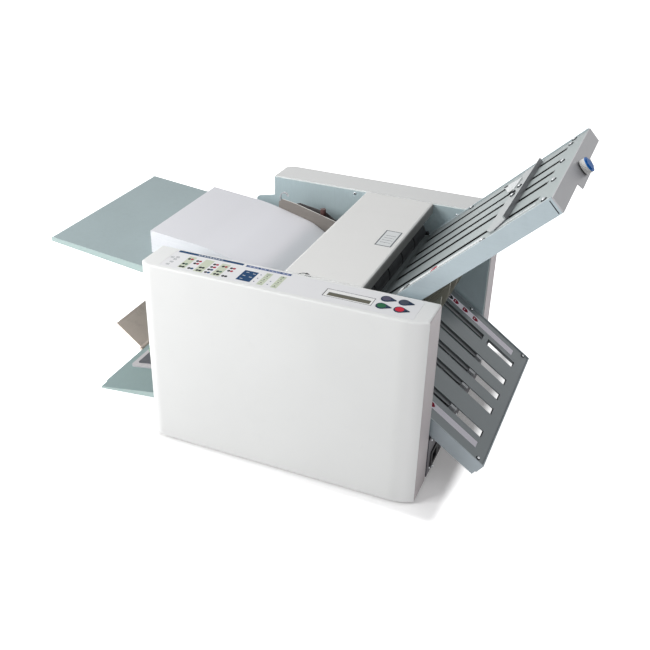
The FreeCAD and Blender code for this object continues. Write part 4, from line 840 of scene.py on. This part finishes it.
class FOLDER_OT_frame(bpy.types.Operator):
    """Finish the side frames, base, end panel, inlet, switch and feet, with their screws"""
    bl_idname = "folder.frame"
    bl_label = "Frame and base"

    def execute(self, context):
        colour = tuple(settings("folder_steel").frame)
        # Painted highlight: faces of the frames that look up get a lighter tone.
        plate = sheet_steel("frame_plating", colour, 0.4, 0.15, (1, 1, 14), tone(0.86, 0.90, 0.90), (0, 0, 1))
        dress(plate, "front_frame", "rear_frame")
        dress(sheet_steel("base_plating", tone(0.48, 0.49, 0.50), 0.42, 0.3), "base_pan")
        dress(sheet_steel("panel_plating", tone(0.43, 0.42, 0.44), 0.45, 0.3, (1, 14, 1)), "end_panel")
        dress(bpy.data.materials["dark_moulding"], "power_inlet", "power_switch")
        dress(rubber("foot_rubber", tone(0.12, 0.12, 0.12)), "rubber_feet")
        steel = bpy.data.materials["rivet_steel"]
        screws("frame_screws", "housing", level(), [(-38.5, 413, 307), (150, 413, 300), (205, 413, 240)],
               (0, -1, 0), steel, 2.6)
        x = 224.0
        screws("end_panel_screws", "housing", level(),
               [(x, 86, 16), (x, 86, 70), (x, 396, 16), (x, 396, 70), (x, 241, 16), (x, 241, 70)],
               (1, 0, 0), steel, 3.0)
        work = Work(level())
        work.turned([(0, -0.3), (4.6, -0.3), (4.6, 1.0), (3.9, 1.6), (3.0, 1.6), (3.0, 3.4), (2.2, 3.8),
                     (1.9, 2.4), (0, 2.4)], facing_turn(x, 93, 14.5, (1, 0, 0)))
        work.done("earth_stud", "housing", [steel])
        work = Work(level() @ Matrix.Rotation(math.pi / 2, 4, "X"))
        work.prism([(90, 245), (104, 245), (106, 256), (101, 261), (94, 259), (90, 254)], -413.3, -407, 0)
        work.turned([(0, 0), (2.2, 0), (2.2, 3.2), (1.6, 4.0), (0, 4.0)],
                    Matrix.Translation((98, 253, -407.2)), 1)
        work.done("cable_clip", "housing", [bpy.data.materials["dark_moulding"], steel])
        return {"FINISHED"}


def printed_strip(work, u0, u1, y0, y1, ticks, marks):
    """Pale printed strip on a plate with plain ticks and small coloured marks (u, y, kind)."""
    work.slab(u0, u1, y0, y1, -0.1, PRINT_LIFT, 0)
    u = u0 + 3
    k = 0
    while ticks and u < u1 - 1:
        long = 4.2 if k % 5 == 0 else 2.2
        work.slab(u, u + 0.5, y0 + 0.8, y0 + 0.8 + long, -0.1, 2 * PRINT_LIFT, 1)
        u += ticks
        k += 1
    for u, y, finish in marks:
        work.prism([(u - 5.5, y - 5.4), (u + 2, y - 5.4), (u + 6, y - 1), (u + 6, y + 1), (u + 2, y + 5.4),
                    (u - 5.5, y + 5.4)], -0.1, 2 * PRINT_LIFT, finish)
        work.slab(u - 3, u - 1.2, y - 1.4, y + 1.6, -0.1, 3 * PRINT_LIFT, 0)


class FOLDER_OT_upper_plate(bpy.types.Operator):
    """Finish the upper fold plate, its prints, rivets, paper stop and knob"""
    bl_idname = "folder.upper_plate"
    bl_label = "Upper fold plate"

    def draw_slots(self, f, body):
        """Paints shade on the sheet towards its mouth, and a band of painted shade round the edges of its slots
        so they read wider and darker.
        """
        # Painted shade, darker towards the mouth.
        body = f.mix((1 - f.axis(0).rise(120, 240)) * 0.7, body, tone(0.30, 0.32, 0.33))
        lean = math.radians(UPPER[2])
        along = (f.axis(0) - UPPER[0]) * math.cos(lean) + (f.axis(2) - UPPER[1]) * math.sin(lean)
        y = f.axis(1)
        # Painted shade round the slots: dark within a few millimetres of each slot's edges.
        painted_slot_shade = 0
        for middle in UPPER_SLOTS:
            painted_slot_shade = painted_slot_shade + (1 - (y - middle).size().rise(6.8, 8.2))
        low, high = UPPER_SLOT_RUN
        painted_slot_shade = painted_slot_shade * along.rise(low - 3, low - 1) * (1 - along.rise(high + 1, high + 3))
        return f.mix(painted_slot_shade * 0.92, body, tone(0.07, 0.08, 0.09))

    def execute(self, context):
        colour = tuple(settings("folder_steel").plate)
        plate = sloping(*UPPER)
        up = (-0.688, 0, 0.725)
        # Painted shade: the plate's slot walls and edges, being all the faces that don't look up, are near
        # black.
        dress(sheet_steel("upper_plating", colour, 0.42, 0.1, (34, 1, 1), tone(0.05, 0.06, 0.07), up,
                          (0.82, 0.5), gloss=0.12, drawing=self.draw_slots), "upper_cover")
        # Painted shade on the stop's faces that look along the plate towards its end.
        dress(sheet_steel("stop_plating", tone(0.63, 0.65, 0.65), 0.34, 0.2, (1, 34, 1),
                          tone(0.47, 0.47, 0.485), (0.725, 0, 0.688), (0.5, 0.8)), "upper_stop")
        # Painted highlight on the rails' faces that look up.
        dress(sheet_steel("rail_plating", tone(0.70, 0.75, 0.77), 0.36, 0.2, (34, 1, 1),
                          tone(0.84, 0.88, 0.89), up, (0.7, 0.9)), "upper_rails")
        dress(sheet_steel("bracket_plating", tone(0.68, 0.68, 0.69), 0.36, 0.3, (1, 34, 1)),
              "upper_end_bracket")
        # Painted shade: the bed's upward faces, seen through the slots, are near black.
        dress(sheet_steel("bed_plating", tone(0.46, 0.48, 0.49), 0.6, 0.0, (34, 1, 1),
                          tone(0.06, 0.07, 0.08), up, (0.5, 0.8), gloss=0.0), "upper_bed")
        end = UPPER_LENGTH
        work = Work(plate)
        printed_strip(work, end - 268, end - 118, 92, 106, 5.0,
                      [(end - 202, 100, 2), (end - 253, 98, 1)])
        printed_strip(work, end - 94, end - 30, 98, 104, 4.0, [])
        work.slab(end - 4.6, end - 3.3, 76.8, 77.1, -22, -1.5, 1)
        names = ("pale", "black", "red")
        work.done("upper_scale", "upper_plate",
                  [bpy.data.materials["print_" + n] for n in names])
        rivets("upper_rivets", "upper_plate", plate,
               [(end - 24, 379, 0), (end - 26, 357, 0), (end - 23, 268, 0), (end - 18.5, 178, 0),
                (end - 15.6, 95, 0), (end - 226, 379, 0), (end - 112, 86, 0)], (0, 0, 1), 0.85)
        tab = Work(plate)
        tab.prism([(176, 342), (182, 329), (200, 281), (212, 283), (214, 330)], 2.25, 3.5, 0)
        tab.prism([(176, 342), (182, 329), (188, 331), (184, 341)], 3.45, 3.7, 1)
        tab.slab(214, 219, 257, 263, 2.2, 4.2, 1)
        inks = [bpy.data.materials["print_pale"], bpy.data.materials["print_black"]]
        tab.done("stop_tab", "upper_paper_stop", inks)
        rivets("stop_rivets", "upper_paper_stop", plate, [(218, 245, 2.3), (222, 279, 2.3)], (0, 0, 1), 0.85)
        f = Finish("knob_finish")
        c, s = math.cos(math.radians(UPPER[2])), math.sin(math.radians(UPPER[2]))
        u = (f.axis(0) - UPPER[0]) * c + (f.axis(2) - UPPER[1]) * s
        across, under = KNOB_AXIS
        w = (f.axis(2) - UPPER[1]) * c - (f.axis(0) - UPPER[0]) * s + under
        turn = w.sum("ARCTAN2", w, f.axis(1) - across)
        knurl = (turn * KNOB_RIDGES).sine()
        thread = (u * (2 * math.pi / KNOB_THREAD)).sine()
        body, cap, past_washer = (
            u.rise(end + low, end + high) for low, high in (KNOB_BODY, KNOB_CAP, KNOB_WASHER))
        washer = past_washer * (1 - body)
        base = f.mix(body, tone(0.68, 0.69, 0.70), tone(0.93, 0.93, 0.92))
        base = f.mix(washer, base, tone(0.16, 0.16, 0.17))
        base = f.mix(cap, base, tone(0.0, 0.40, 0.72))
        f.set(Base_Color=base, Metallic=1 - past_washer, Roughness=0.4, Specular_IOR_Level=0.2,
              Normal=f.bump(body * (1 - cap) * knurl + (1 - body) * thread, 0.35))
        dress(f.material, "stop_knob")
        return {"FINISHED"}


class FOLDER_OT_lower_plate(bpy.types.Operator):
    """Finish the lower fold plate, its prints, screws and stop"""
    bl_idname = "folder.lower_plate"
    bl_label = "Lower fold plate"

    def execute(self, context):
        colour = tuple(settings("folder_steel").lower)
        plate = sloping(*LOWER)
        dress(sheet_steel("lower_plating", colour, 0.36, 0.25, (34, 1, 1)), "lower_cover")
        dress(sheet_steel("lower_rail_plating", tone(0.63, 0.665, 0.685), 0.38, 0.25, (34, 1, 1)),
              "lower_frame")
        dress(sheet_steel("lower_bed_plating", tone(0.66, 0.67, 0.68), 0.42, 0.2, (34, 1, 1)),
              "lower_bed", "lower_stop")
        # Painted highlight on the fins' upward faces.
        dress(sheet_steel("fin_steel", tone(0.60, 0.59, 0.54), 0.4, 0.2, (1, 1, 10),
                          tone(0.78, 0.77, 0.71), (0, 0, 1), (0.2, 0.6)), "throat_fins")
        end = LOWER_LENGTH
        work = Work(plate)
        printed_strip(work, end - 195, end - 31, 376, 392, 0,
                      [(end - 179, 384, 1), (end - 166, 384, 2), (end - 144, 384, 2), (end - 120, 384, 2)])
        printed_strip(work, end - 121, end - 22, 98, 112, 0, [(end - 114, 105, 2)])
        names = ("lilac", "black", "wine")
        work.done("lower_scale", "lower_plate",
                  [bpy.data.materials["print_" + n] for n in names])
        rivets("lower_rivets", "lower_plate", plate,
               [(end - 11, 82, 0), (end - 11, 401, 0), (end - 135, 401, 0), (end - 135, 82, 0)], (0, 0, 1), 0.7)
        return {"FINISHED"}


class FOLDER_OT_delivery(bpy.types.Operator):
    """Finish the exit chute, the green exit tyres and the brown deflector"""
    bl_idname = "folder.delivery"
    bl_label = "Exit and deflector"

    def scuffs(self, f, body):
        """Worn patches on the deflector's paint."""
        return f.mix(f.noise(34, 5, 0.75).rise(0.5, 0.72) * 0.5, body, tone(0.77, 0.71, 0.66))

    def execute(self, context):
        dress(sheet_steel("chute_steel", tone(0.56, 0.57, 0.57), 0.36, 0.4, (1, 34, 1)), "exit_chute")
        f = Finish("exit_finish")
        y = f.axis(1)
        x = f.axis(0) - EXIT_AXIS[0]
        z = f.axis(2) - EXIT_AXIS[1]
        out = (x * x + z * z).root()
        tyre = out.rise(*EXIT_TYRE)
        pore = f.noise(0.8, 4)
        rib = (y * (2 * math.pi / EXIT_RIB)).sine()
        green = f.mix(pore, tone(0.24, 0.50, 0.30), tone(0.33, 0.60, 0.38))
        f.set(Base_Color=f.mix(tyre, tone(0.66, 0.67, 0.68), green), Metallic=0.9 * (1 - tyre),
              Roughness=0.3 + 0.4 * tyre, Normal=f.bump(tyre * (pore + rib * 0.4), 0.15))
        dress(f.material, "exit_roller")
        dress(sheet_steel("deflector_steel", tone(0.90, 0.84, 0.79), 0.45, 0.05, (1, 40, 1),
                          drawing=self.scuffs), "deflector_plate")
        return {"FINISHED"}


class FOLDER_OT_stage(bpy.types.Operator):
    """Lay the pale floor, light the studio and set the camera"""
    bl_idname = "folder.stage"
    bl_label = "Studio"

    def lamp(self, name, place, power, size, target):
        """Adds a soft rectangular lamp at a place in metres, looking at its target."""
        data = bpy.data.lights.new(name, "AREA")
        data.energy = power
        data.shape = "RECTANGLE"
        data.size, data.size_y = size
        made = bpy.data.objects.new(name, data)
        made.location = place
        made.rotation_euler = (Vector(target) - Vector(place)).to_track_quat("-Z", "Y").to_euler()
        bpy.context.scene.collection.objects.link(made)

    def white_when_seen(self, finish, seen, other):
        """Mixes two shaders by whether the camera, a reflection or glass looks at them."""
        rays = [finish.node("LightPath", output=k) for k in (0, 3, 6)]
        share = (rays[0] + rays[1] + rays[2]).rise(0, 1)
        return finish.node("MixShader", None, {0: share, 1: other, 2: seen})

    def execute(self, context):
        chosen = settings("folder_stage")
        world = bpy.data.worlds.new("studio")
        world.use_nodes = True
        world.node_tree.nodes.clear()
        air = Finish.__new__(Finish)
        air.tree = world.node_tree
        soft = air.node("Background", None, {0: tone(0.985, 0.99, 1.0), 1: chosen.ambient})
        seen = air.node("Background", None, {0: (1, 1, 1, 1), 1: 1.0})
        air.node("OutputWorld", None, {0: self.white_when_seen(air, seen, soft)})
        bpy.context.scene.world = world

        f = Finish("pale_floor")
        f.set(Base_Color=f.mix(f.noise(900, 2), tone(0.93, 0.93, 0.93), tone(0.95, 0.95, 0.95)),
              Roughness=0.9, Specular_IOR_Level=0.1)
        out = []
        for axis, (middle, half) in enumerate(SHADED_FLOOR):
            past = (f.axis(axis) - middle).size() - half
            out.append(past.sum("MAXIMUM", past, 0))
        away = (out[0] * out[0] + out[1] * out[1]).root().rise(*SHADE_FADE)
        # Painted light: for the camera the floor glows, faintly near the machine so the lamps' shadow shows
        # there and fully white beyond, which hides any shadow cast further out.
        lift = f.node("Emission", None, {0: f.mix(away, (0.185, 0.181, 0.179, 1), (1, 1, 1, 1)), 1: 1.0})
        dull = f.node("BsdfDiffuse", None, {0: tone(0.80, 0.80, 0.80)})
        plain = Signal(f, f.shader.outputs[0])
        both = f.node("AddShader", None, {0: plain, 1: lift})
        out = f.tree.nodes["Material Output"]
        f.tree.links.new(self.white_when_seen(f, both, dull).socket, out.inputs[0])
        work = bmesh.new()
        ring = [work.verts.new((FLOOR_RADIUS * math.cos(a), FLOOR_RADIUS * math.sin(a), 0))
                for a in (2 * math.pi * k / 64 for k in range(64))]
        work.faces.new(ring)
        data = bpy.data.meshes.new("floor")
        work.to_mesh(data)
        work.free()
        data.materials.append(f.material)
        floor = bpy.data.objects.new("floor", data)
        bpy.context.scene.collection.objects.link(floor)

        self.lamp("key", (-0.75, 0.45, 2.6), chosen.key, (0.9, 0.9), (0.05, 0, 0.1))
        self.lamp("fill", (-0.86, -1.18, 1.02), chosen.fill, (0.8, 0.7), (-0.03, 0, 0.2))
        self.lamp("side", (-1.5, -0.35, 0.42), chosen.side, (0.5, 0.5), (-0.2, 0, 0.2))

        az, el, roll = (math.radians(v) for v in VIEW_ANGLES)
        back = Vector((math.sin(az) * math.cos(el), -math.cos(az) * math.cos(el), math.sin(el)))
        right = Vector((math.cos(az), math.sin(az), 0))
        up = back.cross(right)
        across = math.cos(roll) * right + math.sin(roll) * up
        upright = math.cos(roll) * up - math.sin(roll) * right
        data = bpy.data.cameras.new("view")
        data.sensor_width = SENSOR
        data.lens = FOCAL_PIXELS / PICTURE_PIXELS * SENSOR
        camera = bpy.data.objects.new("view", data)
        turn = Matrix((across, upright, back)).transposed().to_4x4()
        camera.matrix_world = Matrix.Translation(at(*VIEW_TARGET) + VIEW_DISTANCE * back) @ turn
        bpy.context.scene.collection.objects.link(camera)
        bpy.context.scene.camera = camera
        bpy.context.scene.view_settings.view_transform = "Standard"
        return {"FINISHED"}


OPERATORS = [
    FOLDER_OT_inks, FOLDER_OT_covers, FOLDER_OT_panel, FOLDER_OT_keys, FOLDER_OT_trays, FOLDER_OT_paper,
    FOLDER_OT_feed, FOLDER_OT_drive, FOLDER_OT_frame, FOLDER_OT_upper_plate, FOLDER_OT_lower_plate,
    FOLDER_OT_delivery, FOLDER_OT_stage,
]


class FOLDER_PT_sidebar(bpy.types.Panel):
    """Lists the machine's pieces and their settings."""
    bl_idname = "FOLDER_PT_sidebar"
    bl_label = "Paper folding machine"
    bl_space_type = "VIEW_3D"
    bl_region_type = "UI"
    bl_category = "Folder"

    def draw(self, context):
        for name, group in SETTINGS.items():
            box = self.layout.box()
            box.label(text=group.__doc__)
            for key in group.__annotations__:
                box.prop(getattr(context.scene, name), key)
        for operator in OPERATORS:
            self.layout.operator(operator.bl_idname)


def register():
    for kind in [*SETTINGS.values(), *OPERATORS, FOLDER_PT_sidebar]:
        bpy.utils.register_class(kind)
    for name, group in SETTINGS.items():
        setattr(bpy.types.Scene, name, bpy.props.PointerProperty(type=group))


def unregister():
    for name in SETTINGS:
        delattr(bpy.types.Scene, name)
    for kind in reversed([*SETTINGS.values(), *OPERATORS, FOLDER_PT_sidebar]):
        bpy.utils.unregister_class(kind)


def main():
    """Registers the classes and makes every piece in order."""
    register()
    for operator in OPERATORS:
        group, name = operator.bl_idname.split(".")
        getattr(getattr(bpy.ops, group), name)()


if __name__ == "__main__":
    main()
